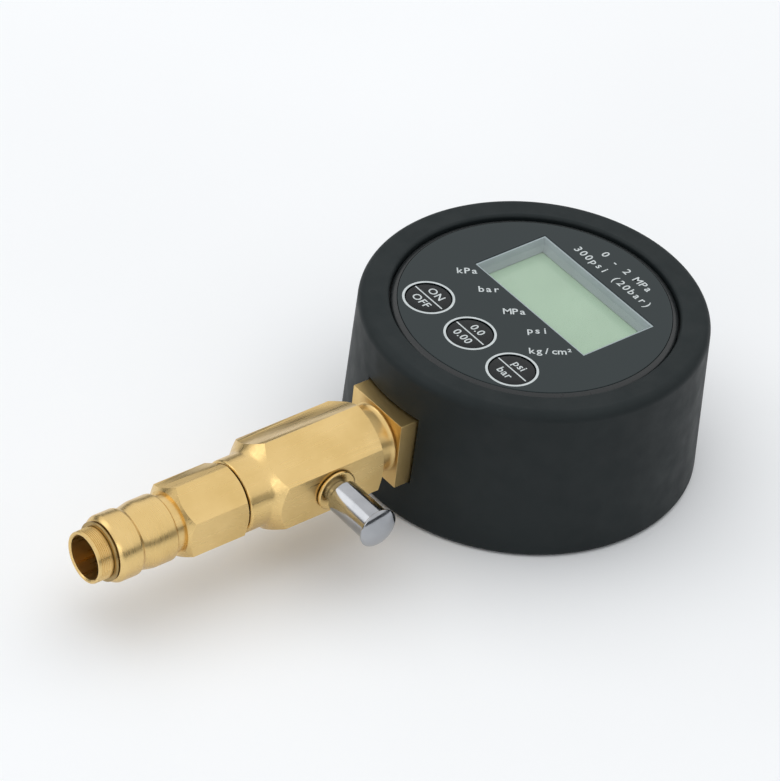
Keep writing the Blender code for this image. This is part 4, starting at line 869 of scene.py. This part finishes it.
def floor():
    """Plain pale paper under the gauge."""
    build = bmesh.new()
    bmesh.ops.create_grid(build, x_segments=8, y_segments=8, size=3.0)
    made, nodes, links, shader = new_material("floor_paper", (0.92, 0.925, 0.93), 0.85)
    shader.inputs["Specular IOR Level"].default_value = 0.0
    shade = noise(nodes, links, 6.0)
    two_toned(nodes, links, shader, shade, (0.91, 0.915, 0.92), (0.94, 0.945, 0.95))
    piece = new_piece("floor", build, made)


def low_surround():
    """Dark card round the stage, seen only in reflections, as the open case was."""
    radius, low, high, centre_y = 0.55, -0.05, 0.17, -0.04
    build = bmesh.new()
    rings = [[build.verts.new((x, y + centre_y, level)) for x, y in circle(radius, CARD_STEPS)]
             for level in (low, high)]
    bridge(build, *rings)
    piece = new_piece("low_surround", build, DARK_CARD)
    piece.visible_camera = False
    piece.visible_diffuse = False
    piece.visible_shadow = False
    piece.visible_transmission = False


def lamp(name, power, size, place, aim):
    """A square lamp that the camera doesn't see."""
    data = bpy.data.lights.new(name, "AREA")
    data.energy = power
    data.shape = "RECTANGLE"
    data.size = size
    data.size_y = size
    holder = new_object(name, data)
    holder.location = place
    holder.visible_camera = False
    holder.rotation_mode = "QUATERNION"
    holder.rotation_quaternion = (Vector(aim) - Vector(place)).to_track_quat("-Z", "Y")
    return holder


def lamps():
    """A broad lamp overhead, a small one low in front and a soft one at the side."""
    overhead = lamp("overhead", power=12.5, size=1.9, place=(-0.15, 0.10, 1.15),
                    aim=(0, -0.04, 0))
    overhead.visible_glossy = False
    lamp("front", power=0.20, size=0.22, place=(0.275, -0.46, 0.13), aim=(0, -0.06, 0.02))
    lamp("side", power=1.6, size=0.8, place=(-0.9, -0.9, 0.9), aim=(0, -0.04, 0))


def surround():
    """White where the camera, a reflection or a clear piece sees it, and weaker as light."""
    world = bpy.data.worlds.new("surround")
    bpy.context.scene.world = world
    world.use_nodes = True
    nodes, links = world.node_tree.nodes, world.node_tree.links
    nodes.clear()
    path = nodes.new("ShaderNodeLightPath")
    seen = path.outputs["Is Camera Ray"]
    for ray in ("Is Glossy Ray", "Is Transmission Ray"):
        either = nodes.new("ShaderNodeMath")
        either.operation = "MAXIMUM"
        links.new(seen, either.inputs[0])
        links.new(path.outputs[ray], either.inputs[1])
        seen = either.outputs["Value"]
    lighting = nodes.new("ShaderNodeBackground")
    lighting.inputs["Color"].default_value = (0.94, 0.97, 1.0, 1)
    lighting.inputs["Strength"].default_value = 0.50
    shown = nodes.new("ShaderNodeBackground")
    shown.inputs["Color"].default_value = (1.0, 1.0, 1.0, 1)
    shown.inputs["Strength"].default_value = 1.0
    mix = nodes.new("ShaderNodeMixShader")
    links.new(seen, mix.inputs["Fac"])
    links.new(lighting.outputs["Background"], mix.inputs[1])
    links.new(shown.outputs["Background"], mix.inputs[2])
    out = nodes.new("ShaderNodeOutputWorld")
    links.new(mix.outputs["Shader"], out.inputs["Surface"])


camera()
floor()
low_surround()
lamps()
surround()
boot()
bezel_ring()
face_plate()
display_front()
key_caps()
lettering()
socket()
valve_bar()
coupler_bar()
sleeve()
snap_ring()
bleed_valve()
springs()
carried_nodes()
bpy.context.scene.view_settings.view_transform = "Standard"

bpy.context.view_layer.update()
